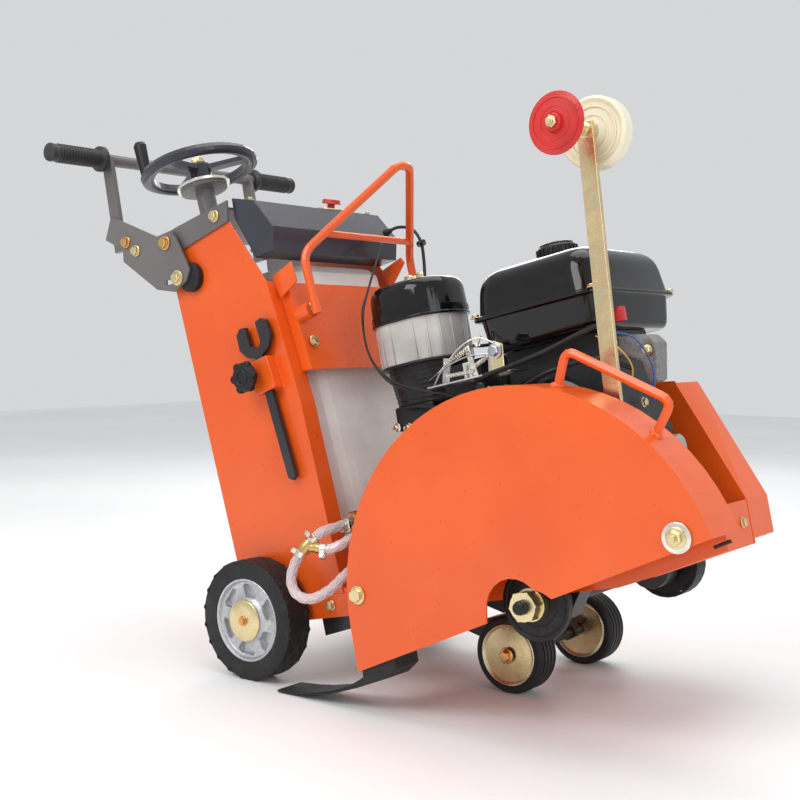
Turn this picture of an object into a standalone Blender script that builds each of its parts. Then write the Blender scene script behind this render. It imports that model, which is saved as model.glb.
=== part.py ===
"""Walk-behind concrete saw, raised on its front wheels in the transport position.

Lengths are metres and +Z is up. The machine is laid out level, in the frame of
its deck: +X forward, +Y to the operator's left, the origin on the rear axle in
the middle of the chassis. The whole layout hangs under one empty that tips it
nose-up about the rear axle, as the lowered front wheels do.
"""
import math

import bmesh
import bpy
from mathutils import Matrix, Vector

# ---- driving dimensions -------------------------------------------------
GAP = 0.0003                  # running gap between neighbouring solids
PITCH = math.radians(12.0)    # nose-up tip of the deck at rest
ORIGIN_SHIFT = (-0.19895, 0.0)   # rear axle centre from the footprint's centre

REAR_R, REAR_W = 0.100, 0.050
FRONT_R, FRONT_W = 0.0625, 0.050
WHEEL_SIDES = 30              # 12 degree facets, so one facet lies on the floor

HALF = 0.175                  # chassis half width, to the outer plate faces
SHEET = 0.004
RAIL_LOW, DECK_TOP = -0.017, 0.023
NOSE_X = 0.724

FRONT_AXLE_X = 0.3706
FRONT_AXLE_Z = (FRONT_R - REAR_R - FRONT_AXLE_X * math.sin(PITCH)) / math.cos(PITCH)
ARM_PIVOT = (0.135, -0.005)
FRONT_RIGHT_Y, FRONT_LEFT_Y = -0.010, 0.217

SHAFT = (0.556, -0.018)       # blade shaft centre, x and z
GUARD_R = 0.306
GUARD_OUT, GUARD_IN = -0.260, -HALF - 0.0006
GUARD_HINGE = (0.275, 0.024)
GUARD_STUD = (0.810, 0.052)

SCREW_LEAN = math.radians(5.9)
SCREW_Y = -0.135
SCREW_FOOT_X = 0.0377         # where the screw line meets the axle's level
LEVER_LENGTH = 0.100

HANDLE_PIVOT = (-0.101, 0.672)
HANDLE_BAR = (-0.231, 0.865)
PLATE_OUT = 0.191

CRANK = (0.530, 0.160)        # engine crankshaft centre
BELT_Y = 0.205
SHAFT_PULLEY_R, CRANK_PULLEY_R = 0.053, 0.045

OIL_CAP = (0.6545, 0.075, 0.165)
GRIP_AT = (0.4440, -0.070, 0.2810)
GRIP_PULL = (-0.35, -0.35, 0.87)   # the way the starter rope is pulled

GUIDE_PIVOT = (0.685, 0.085)
GUIDE_TIP = (0.730, 0.617)
GUIDE_Y = -0.150

ORANGE = (0.90, 0.17, 0.02)
BLACK = (0.015, 0.015, 0.017)
RUBBER = (0.02, 0.02, 0.02)
ZINC = (0.75, 0.66, 0.38)
STEEL = (0.55, 0.56, 0.58)
GREY = (0.30, 0.29, 0.28)
CREAM = (0.85, 0.83, 0.76)

bodies = {}


# ---- scene and materials ------------------------------------------------
def clear_scene():
    for thing in list(bpy.data.objects):
        bpy.data.objects.remove(thing, do_unlink=True)


def paint(name, colour, rough=0.4, metal=0.0, alpha=1.0):
    found = bpy.data.materials.get(name)
    if found:
        return found
    made = bpy.data.materials.new(name)
    made.use_nodes = True
    shader = made.node_tree.nodes["Principled BSDF"]
    shader.inputs["Base Color"].default_value = (*colour, 1.0)
    shader.inputs["Roughness"].default_value = rough
    shader.inputs["Metallic"].default_value = metal
    shader.inputs["Alpha"].default_value = alpha
    made.diffuse_color = (*colour, 1.0)
    return made


def body(name, at, parent="chassis"):
    """An empty on the joint's axis, placed in the deck's frame."""
    empty = bpy.data.objects.new("body_" + name, None)
    bpy.context.collection.objects.link(empty)
    empty["deck_place"] = at
    if parent:
        holder = bodies[parent]
        empty.parent = holder
        empty.location = Vector(at) - Vector(holder["deck_place"])
    bodies[name] = empty
    return empty


def link(name, mesh):
    thing = bpy.data.objects.new(name, mesh)
    bpy.context.collection.objects.link(thing)
    return thing


def finish(thing, owner, material, smooth=35):
    """Moves a piece drawn in the deck's frame onto its body's empty."""
    place = Vector(bodies[owner]["deck_place"])
    thing.data.transform(Matrix.Translation(-place))
    thing.parent = bodies[owner]
    thing.data.materials.clear()
    thing.data.materials.append(material)
    thing.data.shade_smooth()
    thing.data.set_sharp_from_angle(angle=math.radians(smooth))
    return thing


# ---- shapes --------------------------------------------------------------
def mesh_from(bm, name):
    bmesh.ops.recalc_face_normals(bm, faces=bm.faces)
    mesh = bpy.data.meshes.new(name)
    bm.to_mesh(mesh)
    bm.free()
    return link(name, mesh)


def prism(name, outline, low, high):
    """Extrudes an outline of (x, z) points across the machine from low to high y."""
    bm = bmesh.new()
    base = [bm.verts.new((x, low, z)) for x, z in outline]
    face = bm.faces.new(base)
    grown = bmesh.ops.extrude_face_region(bm, geom=[face])
    moved = [v for v in grown["geom"] if isinstance(v, bmesh.types.BMVert)]
    bmesh.ops.translate(bm, verts=moved, vec=(0, high - low, 0))
    return mesh_from(bm, name)


def slab(name, outline, low, high):
    """Extrudes an outline of (x, y) points up from low to high z."""
    bm = bmesh.new()
    base = [bm.verts.new((x, y, low)) for x, y in outline]
    face = bm.faces.new(base)
    grown = bmesh.ops.extrude_face_region(bm, geom=[face])
    moved = [v for v in grown["geom"] if isinstance(v, bmesh.types.BMVert)]
    bmesh.ops.translate(bm, verts=moved, vec=(0, 0, high - low))
    return mesh_from(bm, name)


def block(name, low, high):
    outline = [(low[0], low[2]), (high[0], low[2]), (high[0], high[2]), (low[0], high[2])]
    return prism(name, outline, low[1], high[1])


def aim(axis):
    """Turns a shape drawn along +Z onto another axis."""
    return Vector((0, 0, 1)).rotation_difference(Vector(axis).normalized()).to_matrix().to_4x4()


def turned(name, profile, sides, centre, axis=(0, 1, 0), ring=False, half_step=False):
    """Spins (radius, height) points about an axis; a ring profile closes on itself."""
    bm = bmesh.new()
    start = math.pi / sides if half_step else 0.0
    rows = []
    for radius, height in profile:
        if radius < 1e-6:
            rows.append([bm.verts.new((0, 0, height))])
            continue
        turn = [start + 2 * math.pi * k / sides for k in range(sides)]
        rows.append([bm.verts.new((radius * math.cos(a), radius * math.sin(a), height)) for a in turn])
    pairs = list(zip(rows, rows[1:]))
    if ring:
        pairs.append((rows[-1], rows[0]))
    for below, above in pairs:
        for k in range(sides):
            n = (k + 1) % sides
            corners = [below[k % len(below)], below[n % len(below)]]
            corners += [above[n % len(above)], above[k % len(above)]]
            bm.faces.new(list(dict.fromkeys(corners)))
    if not ring:
        for row in (rows[0], rows[-1]):
            if len(row) > 1:
                bm.faces.new(row)
    made = mesh_from(bm, name)
    made.data.transform(Matrix.Translation(centre) @ aim(axis))
    return made


def rod(name, start, end, radius, sides=16, half_step=False):
    start, end = Vector(start), Vector(end)
    length = (end - start).length
    profile = [(radius, 0), (radius, length)]
    return turned(name, profile, sides, start, end - start, half_step=half_step)


def smooth_route(points, steps):
    """Catmull-Rom points through a hand-laid route."""
    knots = [Vector(p) for p in points]
    knots = [2 * knots[0] - knots[1]] + knots + [2 * knots[-1] - knots[-2]]
    route = []
    for i in range(1, len(knots) - 2):
        a, b, c, d = knots[i - 1:i + 3]
        for k in range(steps):
            t = k / steps
            route.append(0.5 * (2 * b + (c - a) * t + (2 * a - 5 * b + 4 * c - d) * t ** 2
                                + (3 * b - a - 3 * c + d) * t ** 3))
    route.append(knots[-2])
    return route


def tube(name, route, radius, resolution=2):
    """A round bar or hose along a route, with closed ends."""
    curve = bpy.data.curves.new(name, "CURVE")
    curve.dimensions = "3D"
    curve.bevel_depth = radius
    curve.bevel_resolution = resolution
    curve.use_fill_caps = True
    spline = curve.splines.new("POLY")
    spline.points.add(len(route) - 1)
    for point, place in zip(spline.points, route):
        point.co = (*place, 1)
    drawn = bpy.data.objects.new(name + "_path", curve)
    bpy.context.collection.objects.link(drawn)
    graph = bpy.context.evaluated_depsgraph_get()
    mesh = bpy.data.meshes.new_from_object(drawn.evaluated_get(graph))
    bpy.data.objects.remove(drawn, do_unlink=True)
    bm = bmesh.new()
    bm.from_mesh(mesh)
    bmesh.ops.remove_doubles(bm, verts=bm.verts, dist=1e-6)
    bpy.data.meshes.remove(mesh)
    return mesh_from(bm, name)


def rounded(points, radii, steps=5):
    """Rounds the corners of a bent bar; radii matches the inner points."""
    route = [Vector(points[0])]
    for i in range(1, len(points) - 1):
        here = Vector(points[i])
        back = (Vector(points[i - 1]) - here).normalized()
        on = (Vector(points[i + 1]) - here).normalized()
        reach = radii[i - 1]
        first, last = here + back * reach, here + on * reach
        for k in range(steps + 1):
            t = k / steps
            route.append((1 - t) ** 2 * first + 2 * t * (1 - t) * here + t ** 2 * last)
    route.append(Vector(points[-1]))
    return route


def combine(thing, other, operation):
    """Cuts or joins another solid, which is then removed."""
    tool = thing.modifiers.new("combine", "BOOLEAN")
    tool.operation = operation
    tool.solver = "EXACT"
    tool.object = other
    graph = bpy.context.evaluated_depsgraph_get()
    mesh = bpy.data.meshes.new_from_object(thing.evaluated_get(graph))
    thing.modifiers.clear()
    old = thing.data
    thing.data = mesh
    bpy.data.meshes.remove(old)
    bpy.data.objects.remove(other, do_unlink=True)
    return thing


def cut(thing, other):
    return combine(thing, other, "DIFFERENCE")


def weld(thing, other):
    return combine(thing, other, "UNION")


def arc(centre, radius, start, end, steps):
    """Points on an arc in the x-z plane, angles in degrees."""
    turn = [math.radians(start + (end - start) * k / steps) for k in range(steps + 1)]
    return [(centre[0] + radius * math.cos(a), centre[1] + radius * math.sin(a)) for a in turn]


def bullnose(width, depth, corner, steps=4):
    """A rounded rectangle's outline about the origin."""
    points = []
    for quarter, (sx, sy) in enumerate(((1, 1), (-1, 1), (-1, -1), (1, -1))):
        for k in range(steps + 1):
            a = math.radians(90 * quarter + 90 * k / steps)
            points.append((sx * (width / 2 - corner) + corner * math.cos(a),
                           sy * (depth / 2 - corner) + corner * math.sin(a)))
    return points


def loft(name, outline, centre, levels):
    """Stacks scaled copies of an (x, y) outline; levels are (z, scale)."""
    bm = bmesh.new()
    rows = []
    for z, scale in levels:
        rows.append([bm.verts.new((centre[0] + x * scale, centre[1] + y * scale, z)) for x, y in outline])
    count = len(outline)
    for below, above in zip(rows, rows[1:]):
        for k in range(count):
            n = (k + 1) % count
            bm.faces.new((below[k], below[n], above[n], above[k]))
    bm.faces.new(rows[0])
    bm.faces.new(rows[-1])
    return mesh_from(bm, name)


def on_screw(distance):
    """A point on the lifting screw's line, measured up from the axle's level."""
    return Vector((SCREW_FOOT_X - distance * math.sin(SCREW_LEAN), SCREW_Y, distance * math.cos(SCREW_LEAN)))


SCREW_AXIS = Vector((-math.sin(SCREW_LEAN), 0, math.cos(SCREW_LEAN)))


# ---- chassis --------------------------------------------------------------
def make_chassis():
    orange = paint("orange_paint", ORANGE, 0.35)
    black = paint("black_paint", BLACK, 0.4)
    inner = HALF - SHEET - GAP

    deck = [(0.172, DECK_TOP - SHEET), (NOSE_X - SHEET, DECK_TOP - SHEET), (NOSE_X - SHEET, -0.003),
            (NOSE_X, -0.003), (NOSE_X, 0.067), (NOSE_X - SHEET, 0.067), (NOSE_X - SHEET, DECK_TOP),
            (0.172, DECK_TOP)]
    finish(prism("deck_plate", deck, -inner, inner), "chassis", orange)

    right = [(-0.045, RAIL_LOW), (0.668, -0.012), (NOSE_X, -0.002), (0.811, 0.0167), (0.835, 0.022),
             (0.835, 0.075), (NOSE_X, 0.075), (0.706, 0.102), (0.664, 0.102), (0.640, 0.043), (0.1725, 0.030), (0.1725, 0.0205),
             (-0.045, 0.0205)]
    rail = prism("side_rail_right", right, -HALF, -HALF + SHEET)
    cut(rail, rod("shaft_gap", (SHAFT[0], -0.3, SHAFT[1]), (SHAFT[0], 0.0, SHAFT[1]), 0.024))
    cut(rail, rod("axle_hole", (0, -0.3, 0), (0, 0, 0), 0.0108))
    for place in (GUARD_HINGE, GUARD_STUD):
        start = (place[0], -HALF + 0.001, place[1])
        end = (place[0], GUARD_OUT + SHEET + GAP, place[1])
        weld(rail, rod("guard_boss", start, end, 0.011, 12))
    finish(rail, "chassis", orange)

    left = [(-0.045, RAIL_LOW), (0.668, -0.012), (0.725, -0.003), (0.725, 0.067), (0.641, 0.271),
            (0.600, 0.277), (0.470, 0.277), (0.400, 0.220), (0.340, 0.030), (0.1725, 0.030),
            (0.1725, 0.0205), (-0.045, 0.0205)]
    plate = prism("side_plate_left", left, HALF - SHEET, HALF)
    cut(plate, rod("shaft_gap", (SHAFT[0], 0.0, SHAFT[1]), (SHAFT[0], 0.3, SHAFT[1]), 0.024))
    cut(plate, rod("axle_hole", (0, 0, 0), (0, 0.3, 0), 0.0108))
    cut(plate, rod("crank_hole", (CRANK[0], 0, CRANK[1]), (CRANK[0], 0.3, CRANK[1]), 0.030))
    finish(plate, "chassis", orange)

    steel = paint("zinc_plate", ZINC, 0.3, 0.9)
    reach = HALF + 0.010 + REAR_W + 0.004
    finish(rod("rear_axle", (0, -reach, 0), (0, reach, 0), 0.010, 20), "chassis", steel)

    for name, y in (("bearing_right", -0.150), ("bearing_left", 0.150)):
        low = arc(SHAFT, 0.036, 200, 340, 8)
        shape = [(SHAFT[0] + 0.060, DECK_TOP - SHEET - GAP), (SHAFT[0] - 0.060, DECK_TOP - SHEET - GAP),
                 (SHAFT[0] - 0.060, 0.004)] + low + [(SHAFT[0] + 0.060, 0.004)]
        housing = prism(name, shape, y - 0.018, y + 0.018)
        cut(housing, rod("bore", (SHAFT[0], y - 0.05, SHAFT[1]), (SHAFT[0], y + 0.05, SHAFT[1]), 0.0156, 24))
        finish(housing, "chassis", black)


def make_tower():
    orange = paint("orange_paint", ORANGE, 0.35)
    back = [(-0.110, 0.585), (-0.0625, 0.100), (-0.0515, 0.021)]
    side = [(0.171, 0.021), (0.144, 0.343), (0.110, 0.552), (0.046, 0.674), (-0.089, 0.655)] + back
    front = [(0.171, 0.021), (0.144, 0.343), (0.110, 0.552)]
    flange = front + [(x - SHEET, z) for x, z in reversed(front)]
    for name, sign in (("tower_side_right", -1), ("tower_side_left", 1)):
        plate = prism(name, side, *sorted((sign * HALF, sign * (HALF - SHEET))))
        weld(plate, prism("flange", flange, *sorted((sign * (HALF - 0.001), sign * (HALF - 0.035)))))
        if sign < 0:
            weld(plate, make_wrench_sleeve())
        finish(plate, "chassis", orange)

    inner = HALF - SHEET - GAP
    sheet = 0.003
    panel = [(-0.1055, 0.580), (-0.0585, 0.100), (-0.0585 + sheet, 0.100), (-0.1055 + sheet, 0.580)]
    finish(prism("tower_back_panel", panel, -inner, inner), "chassis", orange)

    face = [(0.1305, 0.545), (0.1550, 0.392), (0.1585, 0.392), (0.1340, 0.545)]
    brace = prism("tower_front_panel", face, -0.150, 0.150)
    edge = [(0.1118, 0.545), (0.1367, 0.392), (0.1560, 0.392), (0.1315, 0.545)]
    for y in (-0.150, 0.146):
        weld(brace, prism("edge", edge, y, y + 0.004))
        weld(brace, rod("boss", (0.1410, y * 0.93, 0.487), (0.170, y * 0.93, 0.491), 0.014, 14))
    finish(brace, "chassis", orange)


WRENCH_TOP = Vector((0.076, -0.1855, 0.452))
WRENCH_FOOT = Vector((0.112, -0.1855, 0.220))


def make_wrench_sleeve():
    along = (WRENCH_FOOT - WRENCH_TOP).normalized()
    across = Vector((along.z, 0, -along.x))
    middle = WRENCH_TOP + along * 0.055
    corners = [middle + along * a + across * b for a, b in ((-0.026, -0.024), (-0.026, 0.024), (0.030, 0.024),
                                                             (0.030, -0.024))]
    sleeve = prism("sleeve", [(p.x, p.z) for p in corners], -0.1965, -HALF + 0.001)
    wide = 0.0092
    corners = [middle + along * a + across * b for a, b in ((-0.05, -wide), (-0.05, wide), (0.05, wide),
                                                             (0.05, -wide))]
    return cut(sleeve, prism("channel", [(p.x, p.z) for p in corners], -0.1907, -0.1803))


def make_water_tank():
    white = paint("tank_plastic", CREAM, 0.45)
    shape = bullnose(0.190, 0.264, 0.045)
    levels = [(0.045, 0.86), (0.060, 1.0), (0.575, 1.0), (0.590, 0.90)]
    tank = loft("water_tank", shape, (0.0, 0.0), levels)
    shear = Matrix.Identity(4)
    shear[0][2] = -math.tan(SCREW_LEAN)
    tank.data.transform(Matrix.Translation((0.070, 0.030, 0)) @ shear)
    finish(tank, "chassis", white)
    body("tank_cap", (-0.015, 0.110, 0.600))
    cap = turned("tank_cap", [(0.024, 0), (0.024, 0.018), (0.021, 0.022)], 24, (-0.015, 0.110, 0.5903), (0, 0, 1))
    finish(cap, "tank_cap", paint("black_plastic", BLACK, 0.35))


def make_head():
    """Grey yoke on the tower's head that carries the screw bearing and the handle."""
    grey = paint("grey_paint", GREY, 0.45)
    rail = [(-0.083, 0.652), (0.047, 0.672), (0.053, 0.708), (-0.075, 0.697), (-0.131, 0.690)]
    bridge = [(-0.095, 0.6785), (0.045, 0.695), (0.045, 0.699), (-0.095, 0.6825)]
    yoke = prism("head_bracket", rail, -HALF - SHEET - GAP, -HALF - GAP)
    weld(yoke, prism("left_rail", rail, HALF + GAP, HALF + SHEET + GAP))
    weld(yoke, prism("bridge", bridge, -HALF - 0.001, HALF + 0.001))
    post = [(0.017, 0.690), (0.017, 0.757), (0.042, 0.759), (0.042, 0.766), (0.014, 0.768)]
    weld(yoke, turned("post", post, 24, on_screw(0), SCREW_AXIS))
    cut(yoke, rod("screw_hole", on_screw(0.60), on_screw(0.80), 0.0110, 20))
    finish(yoke, "chassis", grey)
    disc = rod("clamp_disc", (-0.060, -0.1867, 0.600), (-0.060, -HALF - GAP, 0.600), 0.026, 24)
    finish(disc, "chassis", paint("rubber", RUBBER, 0.6))


def make_console():
    black = paint("black_paint", BLACK, 0.4)
    shape = [(0.0545, 0.675), (0.0545, 0.712), (0.105, 0.694), (0.140, 0.640), (0.130, 0.600), (0.0890, 0.598)]
    inside = [(0.040, 0.672), (0.0575, 0.690), (0.0575, 0.7075), (0.1030, 0.6910), (0.1368, 0.6400),
              (0.1276, 0.6030), (0.080, 0.601)]
    console = prism("control_box", shape, -0.168, 0.168)
    cut(console, prism("inside", inside, -0.165, 0.165))
    lean = Vector((0.018, 0, 0.0505)).normalized()
    seat = Vector((0.080, 0.060, 0.7030))
    cut(console, rod("button_hole", seat - lean * 0.02, seat + lean * 0.02, 0.0075, 20))
    finish(console, "chassis", black)
    body("stop_button", seat)
    button = turned("stop_button", [(0.007, -0.003), (0.007, 0.010), (0.018, 0.011), (0.016, 0.019)], 20, seat, lean)
    finish(button, "stop_button", paint("red_plastic", (0.6, 0.02, 0.02), 0.35))


def make_bail():
    orange = paint("orange_paint", ORANGE, 0.35)
    foot, knee, top = (0.186, 0.146, 0.480), (0.176, 0.146, 0.585), (0.305, 0.016, 0.712)
    leg = [foot, knee, top]
    mirror = [(x, -y, z) for x, y, z in reversed(leg)]
    loop = rounded(leg + mirror, [0.022, 0.012, 0.012, 0.022], 5)
    bail = tube("lifting_bail", loop, 0.0075, 2)
    near, far = Vector(knee), Vector(top)
    tie = near.lerp(far, 0.22)
    weld(bail, rod("tie", (tie.x, -tie.y, tie.z), (tie.x, tie.y, tie.z), 0.006, 12))
    finish(bail, "chassis", orange)


# ---- engine ----------------------------------------------------------------
def make_engine():
    cast = paint("cast_black", BLACK, 0.5, 0.2)
    gloss = paint("black_gloss", BLACK, 0.15)
    plastic = paint("black_plastic", BLACK, 0.35)

    case = [(0.455, DECK_TOP + GAP), (0.650, DECK_TOP + GAP), (0.655, 0.200), (0.640, 0.245), (0.560, 0.300),
            (0.480, 0.300), (0.440, 0.290), (0.300, 0.250), (0.265, 0.190), (0.290, 0.100), (0.440, 0.110)]
    engine = prism("engine_block", case, -0.045, 0.105)
    weld(engine, block("shroud", (0.458, -0.025, 0.240), (0.642, 0.100, 0.3547)))
    for k in range(4):
        x = 0.300 + 0.028 * k
        cut(engine, block("fin_gap", (x, -0.06, 0.07), (x + 0.012, -0.020, 0.26)))
    cut(engine, rod("crank_bore", (CRANK[0], 0.06, CRANK[1]), (CRANK[0], 0.2, CRANK[1]), 0.0132, 20))
    finish(engine, "chassis", cast)

    fan = turned("fan_housing", [(0.125, 0.0), (0.128, 0.030), (0.100, 0.040), (0.055, 0.044), (0.040, 0.040)], 36,
                 (CRANK[0], -0.045 - GAP, CRANK[1] + 0.015), (0, -1, 0))
    finish(fan, "chassis", gloss)

    body("recoil_grip", GRIP_AT)
    grip = turned("recoil_grip", [(0.004, -0.004), (0.004, 0.004), (0.008, 0.010), (0.008, 0.030), (0.005, 0.034)],
                  12, GRIP_AT, GRIP_PULL)
    finish(grip, "recoil_grip", plastic)

    shape = bullnose(0.232, 0.280, 0.032)
    levels = [(0.355, 0.84), (0.364, 0.90), (0.405, 0.94), (0.406, 1.0), (0.412, 1.0), (0.413, 0.94), (0.462, 0.86),
              (0.484, 0.66), (0.490, 0.48)]
    finish(loft("fuel_tank", shape, (0.556, 0.045), levels), "chassis", gloss)
    body("fuel_cap", (0.545, 0.040, 0.497))
    cap = turned("fuel_cap", [(0.030, 0), (0.032, 0.003), (0.032, 0.018), (0.028, 0.022)], 28,
                 (0.545, 0.040, 0.4903), (0, 0, 1))
    finish(cap, "fuel_cap", plastic)

    centre = (0.305, -0.025)
    shape = bullnose(0.156, 0.140, 0.060)
    levels = [(0.270, 0.60), (0.300, 0.60), (0.301, 0.74), (0.345, 0.82), (0.3677, 0.84)]
    base = loft("air_cleaner_body", shape, centre, levels)
    weld(base, block("intake", (0.340, -0.060, 0.3035), (0.430, -0.010, 0.352)))
    finish(base, "chassis", plastic)
    levels = [(0.368, 0.93), (0.4417, 0.97)]
    finish(loft("air_cleaner_bowl", shape, centre, levels), "chassis", paint("clear_bowl", CREAM, 0.3))
    levels = [(0.442, 1.0), (0.488, 1.0), (0.500, 0.94), (0.506, 0.70)]
    finish(loft("air_cleaner_cover", shape, centre, levels), "chassis", plastic)

    drum = loft("muffler", bullnose(0.130, 0.070, 0.020), (0.345, 0.078), [(0.288, 0.9), (0.294, 1.0), (0.362, 1.0),
                                                                           (0.368, 0.9)])
    finish(drum, "chassis", cast)

    body("throttle_lever", (0.470, -0.040, 0.3005))
    lever = slab("throttle_lever", [(0.460, -0.032), (0.464, -0.112), (0.467, -0.118), (0.473, -0.118),
                                    (0.476, -0.112), (0.480, -0.032)], 0.3005, 0.3030)
    finish(lever, "throttle_lever", paint("zinc_plate", ZINC, 0.3, 0.9))

    body("oil_cap", OIL_CAP)
    cap = turned("oil_cap", [(0.013, 0), (0.013, 0.008), (0.019, 0.009), (0.019, 0.024), (0.012, 0.027)], 18,
                 OIL_CAP, (1, 0, -0.0282))
    finish(cap, "oil_cap", paint("grey_plastic", (0.35, 0.35, 0.34), 0.5))


def make_drive():
    steel = paint("steel", STEEL, 0.35, 0.9)
    iron = paint("black_iron", BLACK, 0.45, 0.5)
    body("blade_shaft", (SHAFT[0], 0, SHAFT[1]))
    x, z = SHAFT
    profile = [(0.009, -0.2565), (0.010, -0.2555), (0.010, -0.2145), (0.054, -0.214), (0.054, -0.204), (0.030, -0.200),
               (0.015, -0.196), (0.015, 0.150), (0.0125, 0.172), (0.0125, 0.240)]
    finish(turned("blade_shaft", profile, 40, (x, 0, z)), "blade_shaft", iron)
    nut = turned("shaft_nut", [(0.0103, 0), (0.0205, 0), (0.0205, 0.0190), (0.0235, 0.0195), (0.0235, 0.0330),
                               (0.0103, 0.0330)], 24, (x, -0.2483, z), ring=True)
    shape = [(x + 0.0225 * math.cos(math.radians(60 * k)), z + 0.0225 * math.sin(math.radians(60 * k)))
             for k in range(6)]
    hexagon = prism("hexagon", shape, -0.2483, -0.2290)
    cut(hexagon, rod("thread", (x, -0.3, z), (x, -0.2, z), 0.0104, 24))
    weld(nut, hexagon)
    finish(nut, "blade_shaft", paint("zinc_plate", ZINC, 0.3, 0.9))

    wide = 0.034

    def grooved(radius, bore):
        rise, edge = wide / 3, 0.002
        outer = [(bore, -wide / 2), (radius, -wide / 2)]
        for k in range(3):
            low = -wide / 2 + rise * k
            outer += [(radius, low + edge), (radius - 0.008, low + 0.0045), (radius - 0.008, low + rise - 0.0045),
                      (radius, low + rise - edge)]
        return outer + [(radius, wide / 2), (bore, wide / 2)]

    pulley = turned("shaft_pulley", grooved(SHAFT_PULLEY_R, 0.0129), 30, (x, BELT_Y, z), ring=True)
    finish(pulley, "blade_shaft", iron)
    body("crankshaft", (CRANK[0], 0, CRANK[1]))
    pulley = turned("crank_pulley", grooved(CRANK_PULLEY_R, 0.0115), 30, (CRANK[0], BELT_Y, CRANK[1]), ring=True)
    weld(pulley, rod("stub", (CRANK[0], 0.085, CRANK[1]), (CRANK[0], BELT_Y + wide / 2 + 0.004, CRANK[1]), 0.0127, 24))
    finish(pulley, "crankshaft", iron)

    top, low = Vector((CRANK[0], CRANK[1])), Vector(SHAFT)
    line = (top - low).normalized()
    spread = math.degrees(math.asin((SHAFT_PULLEY_R - CRANK_PULLEY_R) / (top - low).length))
    facing = math.degrees(math.atan2(line.y, line.x))

    def belt_path(grow):
        over = arc(CRANK, CRANK_PULLEY_R + grow, facing - 90 + spread, facing + 90 - spread, 12)
        under = arc(SHAFT, SHAFT_PULLEY_R + grow, facing + 90 - spread, facing + 270 + spread, 14)
        return over + under

    belt = prism("drive_belt", belt_path(0.006), BELT_Y - 0.0165, BELT_Y + 0.0165)
    cut(belt, prism("belt_inside", belt_path(0.0012), BELT_Y - 0.05, BELT_Y + 0.05))
    finish(belt, "chassis", paint("rubber", RUBBER, 0.6))

    shape = [(0.470, 0.020), (0.4555, -0.004), (0.668, -0.004), (0.722, 0.004), (0.722, 0.066), (0.640, 0.268),
             (0.600, 0.274), (0.472, 0.274), (0.440, 0.235)]
    hollow = [(0.474, 0.018), (0.464, -0.030), (0.716, -0.030), (0.718, 0.065), (0.637, 0.264), (0.600, 0.270),
              (0.474, 0.270), (0.444, 0.234)]
    cover = prism("belt_cover", shape, HALF + GAP, 0.262)
    cut(cover, prism("cover_inside", hollow, HALF - 0.01, 0.259))
    finish(cover, "chassis", paint("orange_paint", ORANGE, 0.35))


# ---- lifting gear -----------------------------------------------------------
def wheel_profile(radius, width, hub):
    """Half section of a solid rubber wheel, from its bore round to its bore."""
    grown = radius / math.cos(math.pi / WHEEL_SIDES)
    w = width / 2
    return [(hub, -w + 0.004), (0.030, -w + 0.004), (0.034, -w + 0.012), (grown * 0.68, -w + 0.010),
            (grown * 0.71, -w), (grown - 0.007, -w), (grown, -w + 0.006), (grown, w - 0.006),
            (grown - 0.007, w), (grown * 0.71, w), (grown * 0.68, w - 0.010), (0.034, w - 0.012),
            (0.030, w - 0.004), (hub, w - 0.004)]


def make_wheels():
    rubber = paint("rubber", RUBBER, 0.6)
    offset = HALF + 0.010 + REAR_W / 2
    for name, sign in (("rear_wheel_right", -1), ("rear_wheel_left", 1)):
        place = (0, sign * offset, 0)
        body(name, place)
        profile = wheel_profile(REAR_R, REAR_W, 0.0104)
        wheel = turned(name, profile, WHEEL_SIDES, place, ring=True)
        finish(wheel, name, rubber)
    for name, y in (("front_wheel_right", FRONT_RIGHT_Y), ("front_wheel_left", FRONT_LEFT_Y)):
        place = (FRONT_AXLE_X, y, FRONT_AXLE_Z)
        body(name, place, "swing_arm")
        grown = FRONT_R / math.cos(math.pi / WHEEL_SIDES)
        w = FRONT_W / 2
        profile = [(0.0084, -w + 0.004), (0.038, -w + 0.004), (0.043, -w), (grown - 0.006, -w), (grown, -w + 0.006),
                   (grown, w - 0.006), (grown - 0.006, w), (0.043, w), (0.038, w - 0.004), (0.0084, w - 0.004)]
        wheel = turned(name, profile, WHEEL_SIDES, place, ring=True)
        finish(wheel, name, rubber)


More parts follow.
